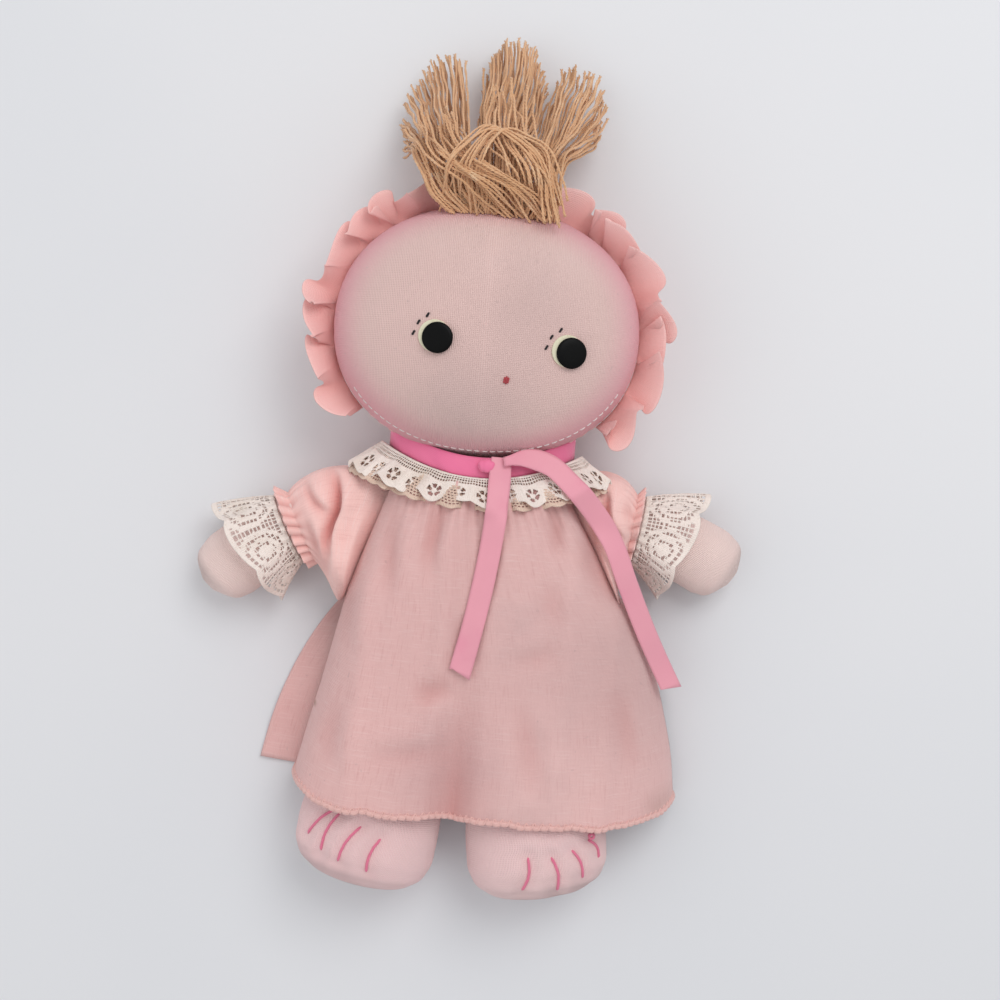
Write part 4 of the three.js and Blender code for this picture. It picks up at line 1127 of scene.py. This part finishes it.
def gown_edge(y, side):
    """A side edge of the gown's front: along the armhole, then out and down to the hem."""
    seam_x, seam_y = SEAM_ENDS[side]
    corner = SKIRT.left_x if side > 0 else SKIRT.right_x
    armhole = min(1.0, (GOWN.top_y - y) / (GOWN.top_y - seam_y))
    down = max(0.0, (seam_y - y) / (seam_y - GOWN.hem_y))
    right, left, fall = smooth_table(SKIRT_SHARES, [down])[0]
    spread = left if side > 0 else right
    x = GOWN.neck_half + (seam_x - GOWN.neck_half) * armhole + (corner - seam_x) * spread
    z = GOWN.neck_rise + (GOWN.seam_rise - GOWN.neck_rise) * armhole
    return np.array((side * x, y, z + (SKIRT.edge_rise - z) * fall))


def gown_points():
    rows, columns = 100, 190
    share = np.linspace(0, 1, columns)
    across = 2 * share - 1
    out, creased = [], []
    for down in np.linspace(0, 1, rows):
        y = GOWN.top_y + (GOWN.hem_y - GOWN.top_y) * down
        right, left = gown_edge(y, -1), gown_edge(y, 1)
        crown = SKIRT.crown * smooth_table(CROWN_SHARES, [down])[0][0]
        power = CROWN_POWER["top"] + (
            np.where(across < 0, CROWN_POWER["right"], CROWN_POWER["left"]) - CROWN_POWER["top"]) * down
        dome = np.sqrt(np.maximum(0, 1 - np.abs(across) ** power))
        points = right + np.outer(share, left - right)
        between_legs = np.maximum(0, 1 - np.abs(points[:, 0]) / LEG.hip_x) ** 2
        valley = SKIRT.valley * max(0, 2.4 * down - 1.4) * between_legs
        gather = share + GATHERS.uneven * waves(share * 2 + down * 0.4, 31)
        gathers = GATHERS.depth * math.exp(-down / GATHERS.reach) * np.sin(TURN * GATHERS.count * gather)
        over = points[:, 0] / (2 * SKIRT.right_x) + 0.5
        soft = SKIRT.soft * (1 - 0.45 * down) * waves(over * 5 + 0.1 * down, 32, (1.0, 0.61, 0.37))
        broad = SKIRT.broad * waves(over * 1.6 + 0.5, 33) * down
        folds, pull = creases_at(points[:, :2] / MM, GOWN_CREASES)
        lift = SKIRT.corner_lift * down**2 * np.abs(across) ** 6
        points[:, 1] += lift + SKIRT.hem_wave * down**6 * waves(share * 6, 34)
        points[:, 2] += (crown - points[:, 2]) * dome - valley + (gathers + soft + broad - folds) * dome
        inside = math.sin(math.pi * min(1, down * 5) / 2) * min(1, 8 * (1 - down))
        points[:, :2] += pull * dome[:, None] * inside
        # Painted shade: the gown darkens in its creases, in the hollows of the gathers and in the valley
        # between the legs.
        creased.append((folds + np.maximum(0, -gathers) + 0.35 * valley) * dome)
        out.append(points)
    return np.array(out), creased


def fold_with_legs(piece):
    """Bakes the placement of cloth that lies over the hips into its mesh."""
    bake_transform(piece)


def make_gown_front():
    points, creased = gown_points()
    piece = sewn_sheet(
        "gown_front_cloth", points, CLOTH, "gown_cloth", "gown_front", held="draped", below="torso_skin",
        creases=(creased, 4 * MM))
    return piece, points


def make_hem(points):
    """The overlocked hem: a cord of thread that bulges at each stitch, with a thread wound over it."""
    edge = smooth_path(points[-1], 1100)
    phase = TURN * np.linspace(0, 1, len(edge)) * distances(edge)[-1] / HEM.stitch
    bulge = HEM.radius * (0.8 + 0.4 * np.abs(np.sin(phase / 2)) ** 0.7)
    cord, wound = edge.copy(), edge.copy()
    cord[:, 1] -= HEM.sway * np.abs(np.sin(phase / 2))
    wound[:, 1] += HEM.low + HEM.swing * np.sin(phase)
    wound[:, 2] += HEM.over * np.maximum(0.2, np.cos(phase + 0.5))
    piece = tubes_object("hem_overlock_thread", [cord, wound], [bulge, np.full(len(edge), HEM.thread)], 7)
    return dress(piece, "hem_thread", "hem_overlock")


def make_gown_back():
    """The back of the gown on the floor, its right corner turned out."""
    rows, columns = 60, 110
    skirt = np.array((SKIRT.left_x, GOWN.hem_y))
    hem, swing = skirt * BACK_HEM_SHARES["corner"], skirt * BACK_HEM_SHARES["side"]
    seam = np.array((GOWN.side_x, GOWN.side_y))
    across = np.linspace(-1, 1, columns)
    upper = GOWN_BACK.upper
    out = []
    for down in np.linspace(0, 1, rows):
        if down < upper:
            t = down / upper
            edge = np.array((GOWN.neck_half, GOWN.back_top_y)) * (1 - t) + seam * t
        else:
            t = (down - upper) / (1 - upper)
            edge = seam * (1 - t) ** 2 + 2 * swing * t * (1 - t) + hem * t**2
        middle_drop = (GOWN.hem_y * BACK_HEM_SHARES["middle_y"] - hem[1]) * 0.5 * down**3
        x = across * edge[0]
        y = edge[1] + middle_drop * (1 - across**2)
        z = GOWN_BACK.low + GOWN_BACK.wave * (1 + waves(across * 3 + down, 41)) * 0.5
        curl = GOWN_BACK.curl * np.abs(across) ** 8 * down * (1 + waves(down * 3 + across, 42)) / 2
        out.append(np.column_stack((x, y, z + curl)))
    return sewn_sheet(
        "gown_back_cloth", np.array(out), GOWN_BACK.cloth, "gown_cloth", "gown_back", held="laid",
        below="floor")


def neck_band(band, rows, columns, wave):
    """A band round the neck from its upper edge outwards and down."""
    angles = round_angles(columns)
    out = []
    for way in np.linspace(0, 1, rows):
        lift = wave(way, angles)
        x = (band.half_width + band.flare_x * way) * np.cos(angles)
        z = (band.half_height + band.flare_z * way + lift) * np.sin(angles)
        y = band.top_y + band.rise * np.cos(angles) ** 2 - band.fall * way
        out.append(np.column_stack((x, y, np.maximum(NECK_BAND_Z + z, COLLAR.floor))))
    return np.array(out)


def make_net_ruffle():
    """The finer net that hangs out below the neck lace."""
    rows, columns = 26, 640
    ruffles = COLLAR.ruffles * 1.3
    band = SimpleNamespace(**vars(COLLAR))
    band.half_height -= 1.2 * MM
    band.fall += 2.6 * MM

    def wave(way, angles):
        return COLLAR.ruffle * 1.2 * way * np.sin(ruffles * angles + 1.2 * waves(angles, 52))

    points = neck_band(band, rows, columns, wave)
    ways = np.linspace(0, 1, rows)[:, None]
    points[..., 1] -= ways * 0.9 * MM * np.abs(np.sin(ruffles * round_angles(columns)))
    row, column = np.meshgrid(np.arange(rows - 1), np.arange(columns), indexing="ij")
    net = (row % 2 == 1) & ((column + row // 2) % 3 != 0) & (row < rows - 3)
    piece = sewn_sheet(
        "neck_lace_net", points, 0.3 * MM, "net", held="gathered", below="gown_front_cloth", slot="lace",
        keep=~net, loop=True)
    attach(piece, "torso")


def make_collar():
    """Gathered eyelet lace round the neckline, with a scalloped edge."""
    rows, columns = 31, 744
    flowers = COLLAR.flowers

    def uneven(angles):
        return COLLAR.ruffles * angles + 1.3 * waves(angles, 51)

    def wave(way, angles):
        ruffle = COLLAR.ruffle * (1 + 0.4 * waves(angles * 1.7, 53))
        return ruffle * way * np.sin(uneven(angles)) + COLLAR.gather * (1 - way) * np.sin(60 * angles)

    points = neck_band(COLLAR, rows, columns, wave)
    angles = round_angles(columns)
    ways = np.linspace(0, 1, rows)[:, None]
    points[..., 1] -= ways * COLLAR.scallop * (np.abs(np.sin(flowers * angles / 2)) - 0.5)
    points[..., 1] -= ways * COLLAR.sway * np.sin(uneven(angles) + 1)
    cell_way, cell_angle = np.meshgrid((np.arange(rows - 1) + 0.5) / rows, angles, indexing="ij")
    across = ((flowers * cell_angle / TURN) % 1 - 0.5) * FLOWER.pitch
    out = (cell_way - FLOWER.place) * FLOWER.lace
    spoke = np.abs(np.cos(2.5 * np.arctan2(out, across)))
    petals = (np.abs(np.hypot(across, out) - FLOWER.petal) < FLOWER.half) & (spoke > FLOWER.spoke)
    net_rows = (np.arange(rows - 1) % 3 != 0)[:, None] & (np.arange(columns) % 3 != 0)[None, :]
    net = net_rows & (cell_way < 0.3) & (cell_way > 0.05)
    piece = sewn_sheet(
        "neck_lace_eyelet", points, COLLAR.thread, "lace", "neck_lace", held="gathered",
        below="gown_front_cloth", keep=~(petals | net), loop=True)
    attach(piece, "torso")
    return piece


def follow_nod(piece):
    """Bakes the placement of a piece at the top of the neckline into its mesh."""
    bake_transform(piece)


def make_ribbon_loop():
    band = SimpleNamespace(**vars(RIBBON), flare_x=0, flare_z=0, fall=RIBBON.loop_width)
    band.top_y = COLLAR.top_y + RIBBON.loop_width - GAP

    def wave(way, angles):
        return 0.5 * MM * waves(angles * 1.4 + way * 0.3, 61) + 0.4 * MM * math.sin(math.pi * way)

    # The band under the chin wears the satin in painted shade.
    piece = sewn_sheet(
        "neck_ribbon_band", neck_band(band, 9, 260, wave), RIBBON.thickness, "satin_in_shade", "neck_ribbon",
        held="gathered", below="gown_front_cloth", slot="satin", loop=True, least=RIBBON_CUT)
    follow_nod(piece)
    return piece, band.top_y - RIBBON.loop_width / 2 + KNOT.rise


def make_knot(y):
    """The knot: ribbon pulled into creases, wound once round itself."""
    angles = round_angles(64)
    z = NECK_BAND_Z + RIBBON.half_height + KNOT.depth / 2 + 0.4 * MM
    out = []
    for polar in np.linspace(0.02, math.pi - 0.02, 40):
        crease = 1 - 0.1 * np.abs(np.sin(3.5 * polar + 1.1 * np.sin(angles))) ** 4
        radius = math.sin(polar) ** 0.75 * crease
        x = KNOT.x - math.cos(polar) * KNOT.width / 2 * (1 + 0.08 * np.sin(2 * angles))
        out.append(np.column_stack((
            x, y + radius * np.cos(angles) * KNOT.height / 2, z + radius * np.sin(angles) * KNOT.depth / 2)))
    # The knot wears the satin in painted shade.
    follow_nod(dress(closed_form("ribbon_knot_wrap", out), "satin_in_shade", "ribbon_knot", slot="satin"))


def as_wide(rows, width):
    """Each row of points cut to one width along the surface, about its middle."""
    out = []
    for row in rows:
        steps = distances(row)
        places = np.clip(steps[len(row) // 2] + np.linspace(-0.5, 0.5, len(row)) * width, 0, steps[-1])
        out.append(at_places(places, steps, row))
    return np.array(out)


def make_tail(name, below, seed):
    """A ribbon tail laid on what lies below its route, drawn straight over the dips."""
    lay = Lay(*below)
    rows, columns = 90, 9
    route = smooth_path(np.array(TAIL_SHARES[name]) * (SKIRT.left_x, GOWN.hem_y), rows)
    tangents = tangents_of(route)
    square = np.column_stack((-tangents[:, 1], tangents[:, 0]))
    offsets = np.linspace(-0.5, 0.5, columns) * RIBBON.width
    places = np.linspace(0, 1, rows)
    pinched = 1 - RIBBON.pinch[name] * np.exp(-((places / RIBBON.pinch_share) ** 2))
    plan = route[:, None] + square[:, None] * (pinched[:, None] * offsets)[..., None]
    under = np.array([[lay.height(x, y, RIBBON.width / 5) for x, y in row] for row in plan]) + RIBBON.lay
    slope = np.clip((under[:, -1] - under[:, 0]) / RIBBON.width, -RIBBON.tilt, RIBBON.tilt)
    for _ in range(8):
        slope = np.convolve(np.pad(slope, 1, mode="edge"), (0.25, 0.5, 0.25), mode="valid")
    level = (under - slope[:, None] * offsets).max(axis=1)
    for _ in range(80):
        padded = np.pad(level, 1, mode="edge")
        level = np.maximum(level, (padded[:-2] + padded[2:]) / 2)
    height = level[:, None] + slope[:, None] * offsets
    height += (RIBBON.wave * (1 + waves(places * 2.2, seed)))[:, None]
    points = as_wide(np.dstack((plan, height)), RIBBON.width)
    slant = np.linspace(-1, 1, columns) * RIBBON.slant
    points[-1, :, :2] += tangents[-1] * slant[:, None]
    return sewn_sheet(
        f"{name}_ribbon_tail_satin", points, RIBBON.thickness, "satin", f"{name}_ribbon_tail", held="laid",
        below="gown_front_cloth", least=RIBBON_CUT)


# The head


def head_ring(angles, half_width, half_height):
    x = HEAD.x + half_width * signed_power(np.cos(angles), HEAD_BOX_SHARE)
    y = HEAD.y + half_height * signed_power(np.sin(angles), HEAD_BOX_SHARE)
    return x, y


def head_side(name, table, rise, gather):
    """One side of the head from its seam to its middle."""
    rows, columns = 70, 200
    angles = round_angles(columns)
    steps = np.linspace(0, 1, rows)
    out = []
    for step, (radius, height) in zip(steps, smooth_table(table, steps)):
        pucker = gather * math.exp(-step / 0.12) * np.sin(64 * angles + 2 * waves(angles, 71))
        radius = max(radius, 0.004)
        x, y = head_ring(angles, radius * (HEAD.width / 2) + pucker, radius * (HEAD.height / 2) + pucker)
        uneven = FACE.uneven * waves(angles / 2.1 + step, 72) * math.sin(math.pi * step)
        z = HEAD.seam_z + height * rise + np.sign(rise) * uneven
        out.append(np.column_stack((x, y, np.maximum(z, 0.05 * MM))))
    points = np.array(out)
    reach = arc_uv(points, True)[:, :1, 1]
    reach = reach[-1] - reach
    turned = TURN * np.arange(columns + 1) / columns
    uv = np.dstack((reach * np.cos(turned), reach * np.sin(turned)))
    piece = grid_object(name, points, loop=True, uv=uv)
    face_outwards(piece, 1e-7, fill=True)
    return piece


def make_head():
    """The face and the back of the head, each a closed padded half that meets the other at the seam."""
    face = head_side("face_knit_panel", FACE_SHARES, FACE_RISE, 0.12 * MM)
    dress(face, "face", "face_panel", "head_stuffing", slot="body_knit", fill=0.85, body="head")
    back = head_side("head_back_cloth", HEAD_BACK_SHARES, -HEAD.seam_z, 0.7 * MM)
    dress(back, "bonnet_cloth", "head_back_panel", fill=0.85, body="head")
    return face


def make_topstitch(lay):
    """White stitches round the chin, just above its seam."""
    angles = np.radians(np.linspace(*FACE.stitched, 1200))
    size = TOPSTITCH
    line = np.column_stack(head_ring(angles, HEAD.width / 2 * size.share, HEAD.height / 2 * size.share))
    steps = distances(line)
    paths = []
    for start in np.arange(0, steps[-1] - size.length, size.length + size.space):
        spots = at_places(np.linspace(start, start + size.length, 6), steps, line)
        paths.append(stitch(lay, spots, size.raised, size.sunk))
    dress(tubes_object("face_topstitch", paths, size.radius), "seam_thread", slot="lace", body="head")


def make_frill():
    """The gathered frill of doubled cloth round the bonnet, folded back over itself in uneven pleats."""
    folds = FRILL.folds
    s = np.linspace(0, folds, folds * FRILL.points + 1)
    start = math.radians(FRILL.open / 2 - 90)
    sweep = TURN - math.radians(FRILL.open)
    wander = s + 0.45 * waves(s / 3.1, 81)
    calm = np.clip((folds - s) / FRILL.calm, 0.12, 1) ** 0.7
    loop, turn, wave, meander = (
        getattr(FRILL, name) * (level + strength * waves(s / length, seed)) * calm
        for name, level, strength, length, seed in FRILL_WAVES
    )
    slanted = sum(strength * np.cos(number * TURN * s + shift) for strength, number, shift in FRILL_SLANT)
    ends = np.clip(np.minimum(s, folds - s) / 1.1, 0, 1)
    width = FRILL.width * (1 + 0.12 * waves(s / 2.7, 84) + 0.2 * (1 - calm)) * (0.4 + 0.6 * ends)
    ways = np.linspace(0, 0.97, 14)
    profile = [*((way, 1) for way in ways), (1, 0.55), (1, -0.55), *((way, -1) for way in ways[::-1])]
    out, creased = [], []
    for way, layer in profile:
        full = way**0.75
        sideways = loop * np.sin(2 * TURN * s) + turn * np.sin(TURN * s)
        turned = np.clip(wander + full * sideways, -0.3, folds + 0.3)
        angle = start + sweep * turned / folds
        half = FRILL.cloth + FRILL.puff * math.sin(math.pi * min(1, way * 1.02)) * (0.6 + 0.4 * np.sin(3 * s))
        reach = 0.4 * MM + width * way + meander * full**2 * slanted
        x, y = head_ring(angle, HEAD.width / 2 + reach, HEAD.height / 2 + reach)
        z = HEAD.seam_z - 1.5 * MM + full * wave * np.sin(TURN * s) + FRILL.lean * way
        z += FRILL.warp * way * waves(s / 5, 85) + layer * half
        out.append(np.column_stack((x, y, z)))
        # Painted shade: the frill darkens towards the head and in the hollows of its folds.
        creased.append((1 - way) ** 0.6 + 0.7 * np.maximum(0, -np.sin(TURN * s + 0.5)) * full)
    points = np.array(out).transpose(1, 0, 2)
    piece = grid_object("bonnet_frill_cloth", points, loop=True, caps=True)
    mark_crease_shade(piece, np.array(creased).T, 1.2)
    face_outwards(piece)
    dress(piece, "bonnet_cloth", "bonnet_frill", body="head")


def turned_disc(name, profile, columns, place, turn):
    """A round piece from a profile of radius and height, set on the cloth at a place."""
    angles = round_angles(columns)
    circle = np.column_stack((np.cos(angles), np.sin(angles), np.zeros(columns)))
    rows = [radius * circle + (0, 0, height) for radius, height in profile]
    return closed_form(name, np.array(rows) @ turn.T + place)


def make_eye(lay, name, side):
    """A flocked disc on a felt disc, with three stitches for lashes."""
    x = FACE.x + side * EYE.spacing / 2
    y = FACE.eye_y + side * FACE.tilt / 2
    point, normal = lay.hit(x, y)
    turn = np.array(Vector((0, 0, 1)).rotation_difference(Vector(normal)).to_matrix())
    for piece_name, look, node, size, columns, shift, profile in (
        ("felt", "felt", "eye_white", EYE.white, 72, turn @ (-EYE.shift, EYE.shift / 2, 0), FELT_SHARES),
        ("disc", "flock", "eye", EYE.radius, 96, normal * 0.95 * MM, DISC_SHARES),
    ):
        rows = [(radius * size, height * MM) for radius, height in profile]
        disc = turned_disc(f"{name}_eye_{piece_name}", rows, columns, point + shift, turn)
        dress(disc, look, f"{name}_{node}", body="head")
    slope = math.radians(LASH.slope)
    along = np.outer(np.linspace(-0.5, 0.5, 9), (math.cos(slope), math.sin(slope))) * LASH.length
    for number in range(LASH.count):
        angle = math.radians(LASH.first + LASH.spread * number)
        spot = np.array((x + LASH.reach * math.cos(angle), y + LASH.reach * math.sin(angle)))
        path = stitch(lay, spot + along, LASH.radius * 0.5, -LASH.radius * 0.8)
        lash = tubes_object(f"{name}_lash_stitch_{number + 1}", [path], LASH.radius * 1.25, 8, 0.3)
        dress(lash, "dark_thread", f"{name}_lash_{number + 1}", body="head")


def make_mouth(lay):
    """The mouth: three short stitches side by side."""
    middle = np.array((FACE.x + FACE.mouth_shift, FACE.eye_y - FACE.mouth_drop))
    paths = []
    ways = np.linspace(-0.5, 0.5, 9)
    for step, length in MOUTH:
        spots = middle + (step * MM, 0) + np.outer(ways, (MOUTH_THREAD.slope, length * MM))
        paths.append(stitch(lay, spots, MOUTH_THREAD.raised, MOUTH_THREAD.sunk))
    piece = tubes_object("mouth_stitches", paths, MOUTH_THREAD.radius, 8, 0.3)
    dress(piece, "red_thread", "mouth_stitch", body="head")


def strand_path(random, lay, points, wave):
    """A smooth, slightly wavy strand of yarn through a few points above the head."""
    root_x, root_y = points[0][:2]
    root_z = lay.hit(root_x, root_y)[0][2] + 0.8 * MM
    path = smooth_path([(root_x, root_y, root_z), *points[1:]], 64)
    along = np.linspace(0, 1, len(path))
    own = [waves(along * 2.4, int(random.integers(1e6))) for _ in range(3)]
    for axis in range(3):
        path[:, axis] += HAIR.wave * along**0.5 * (0.68 * wave[axis] + 0.32 * own[axis])
    path[:, 2] = np.maximum(path[:, 2], 1.6 * MM)
    return path


def clump_strand(random, lay, clump, place, wave):
    """A strand from its root, through the neck of its clump, to its cut end."""
    _, roots, necks, tips, bow = clump
    level = random.uniform(-1, 1)
    root_x = HEAD.x + MM * (np.interp(place, (0, 1), roots) + random.normal(0, 1.8))
    root_y = HAIR.root_y - 2 * MM * (root_x / (28 * MM)) ** 2 + random.uniform(0, 2.5) * MM
    neck_x = HEAD.x + MM * (np.interp(place, (0, 1), necks) + random.normal(0, 0.9))
    tip = MM * np.array([np.interp(place, np.linspace(0, 1, len(tips)), axis) for axis in zip(*tips)])
    tip -= MM * np.array((random.normal(0, 0.8), abs(random.normal(0, 4))))
    neck_y = HAIR.neck_y + random.uniform(-3, 3) * MM
    half_x, half_y = neck_x + (tip[0] - neck_x) * 0.5 + bow * place * MM, (neck_y + tip[1]) / 2
    return strand_path(random, lay, (
        (root_x, root_y),
        (root_x + (neck_x - root_x) * 0.5, root_y + 6.5 * MM, HAIR.root_z + 1 * MM + 4 * MM * level),
        (neck_x, neck_y, 52 * MM + 8 * MM * level),
        (half_x, half_y, 34 * MM + 7 * MM * level),
        (tip[0], tip[1], HAIR.tip_z + 5 * MM * level),
    ), wave)


def sweeping_strand(random, lay, sweep, place, wave):
    """A strand that leaves the hairline and curls over the others."""
    rise = random.uniform(0, 3)
    spots = [(HEAD.x / MM + np.interp(place, (0, 1), across), y, z + rise) for across, y, z in sweep]
    spots = np.array(spots) + np.column_stack((random.normal(0, 1.3, (len(spots), 2)), np.zeros(len(spots))))
    spots[-1, 1] -= random.uniform(0, 12)
    return strand_path(random, lay, [tuple(spot * MM) for spot in spots], wave)


def make_hair(lay):
    """The topknot: three clumps of plied yarn, with strands that curl over their roots."""
    random = np.random.default_rng(7)
    along = np.linspace(0, 1, 64)
    strands = []
    for number, clump in enumerate(CLUMPS):
        count = round(clump[0] * HAIR.strands)
        for place in (np.arange(count) + random.uniform(0, 1, count)) / count:
            wave = [waves(along * 1.6 + 0.25 * place, 101 + number * 3 + axis) for axis in range(3)]
            strands.append(clump_strand(random, lay, clump, place, wave))
    for number, (count, *sweep) in enumerate(SWEEPS):
        for place in random.uniform(0, 1, count):
            wave = [waves(along * 1.4 + 0.3 * place, 120 + number * 3 + axis) for axis in range(3)]
            strands.append(sweeping_strand(random, lay, sweep, place, wave))
    paths = [ply for strand in strands for ply in plied(strand, random.uniform(0, TURN))]
    dress(tubes_object("yarn_topknot", paths, HAIR.ply), "yarn", "yarn_hair", body="head")


# The set


def make_camera():
    data = bpy.data.cameras.new("camera")
    data.sensor_width = CAMERA.sensor
    data.lens = CAMERA.sensor * CAMERA.height / CAMERA.view_width
    camera = placed("camera", data, HOME + np.array((CAMERA.x, 0, CAMERA.height)))
    camera.rotation_euler = (0, 0, math.radians(CAMERA.turn))
    bpy.context.scene.camera = camera


def make_set():
    """A pale floor, a soft key from above and an even fill."""
    scene = bpy.context.scene
    scene.view_settings.view_transform = "Standard"
    corners = ((0, 0), (1, 0), (1, 1), (0, 1))
    plan = [(FLOOR_HALF * (2 * x - 1), FLOOR_HALF * (2 * y - 1), 0) for x, y in corners]
    floor = mesh_object("floor", plan, [(0, 1, 2, 3)], corners)
    floor.data.materials.append(floor_look())
    floor.location.z = -0.0004
    world = bpy.data.worlds.new("soft_light")
    world.use_nodes = True
    sky = world.node_tree.nodes["Background"].inputs
    sky["Color"].default_value = (0.97, 0.98, 1, 1)
    sky["Strength"].default_value = 0.62
    scene.world = world
    for name, place, power, width in (
        ("key", (0.5, 0.75, 1.3), 9.0, 0.9), ("fill", (-0.9, -0.2, 1.1), 3.0, 1.4),
    ):
        light = bpy.data.lights.new(name, "AREA")
        light.energy = power
        light.size = width
        lamp = placed(name, light, place)
        lamp.rotation_euler = (-Vector(place)).to_track_quat("-Z", "Y").to_euler()


def main():
    make_camera()
    make_set()
    torso = make_torso()
    make_hip_seam()
    make_neck()
    legs = []
    for name, side in SIDES:
        legs.append(make_leg(name, side))
        if name == "left":
            make_toe_knot()
    sleeves = []
    for name, side in SIDES:
        route = make_arm(name, side)
        make_elastic(name, route)
        sleeves.append(make_sleeve(name, side, route))
        make_cuff_lace(name, route)
    gown, points = make_gown_front()
    hem = make_hem(points)
    back = make_gown_back()
    make_net_ruffle()
    collar = make_collar()
    loop, knot_y = make_ribbon_loop()
    make_knot(knot_y)
    below = [torso, *legs, *sleeves, gown, collar, loop]
    middle = make_tail("middle", below, 91)
    left = make_tail("left", [*below, middle], 92)
    for piece in (gown, hem, back, middle, left):
        fold_with_legs(piece)
    face_lay = Lay(make_head())
    make_topstitch(face_lay)
    make_frill()
    for name, side in SIDES:
        make_eye(face_lay, name, side)
    make_mouth(face_lay)
    make_hair(face_lay)


main()
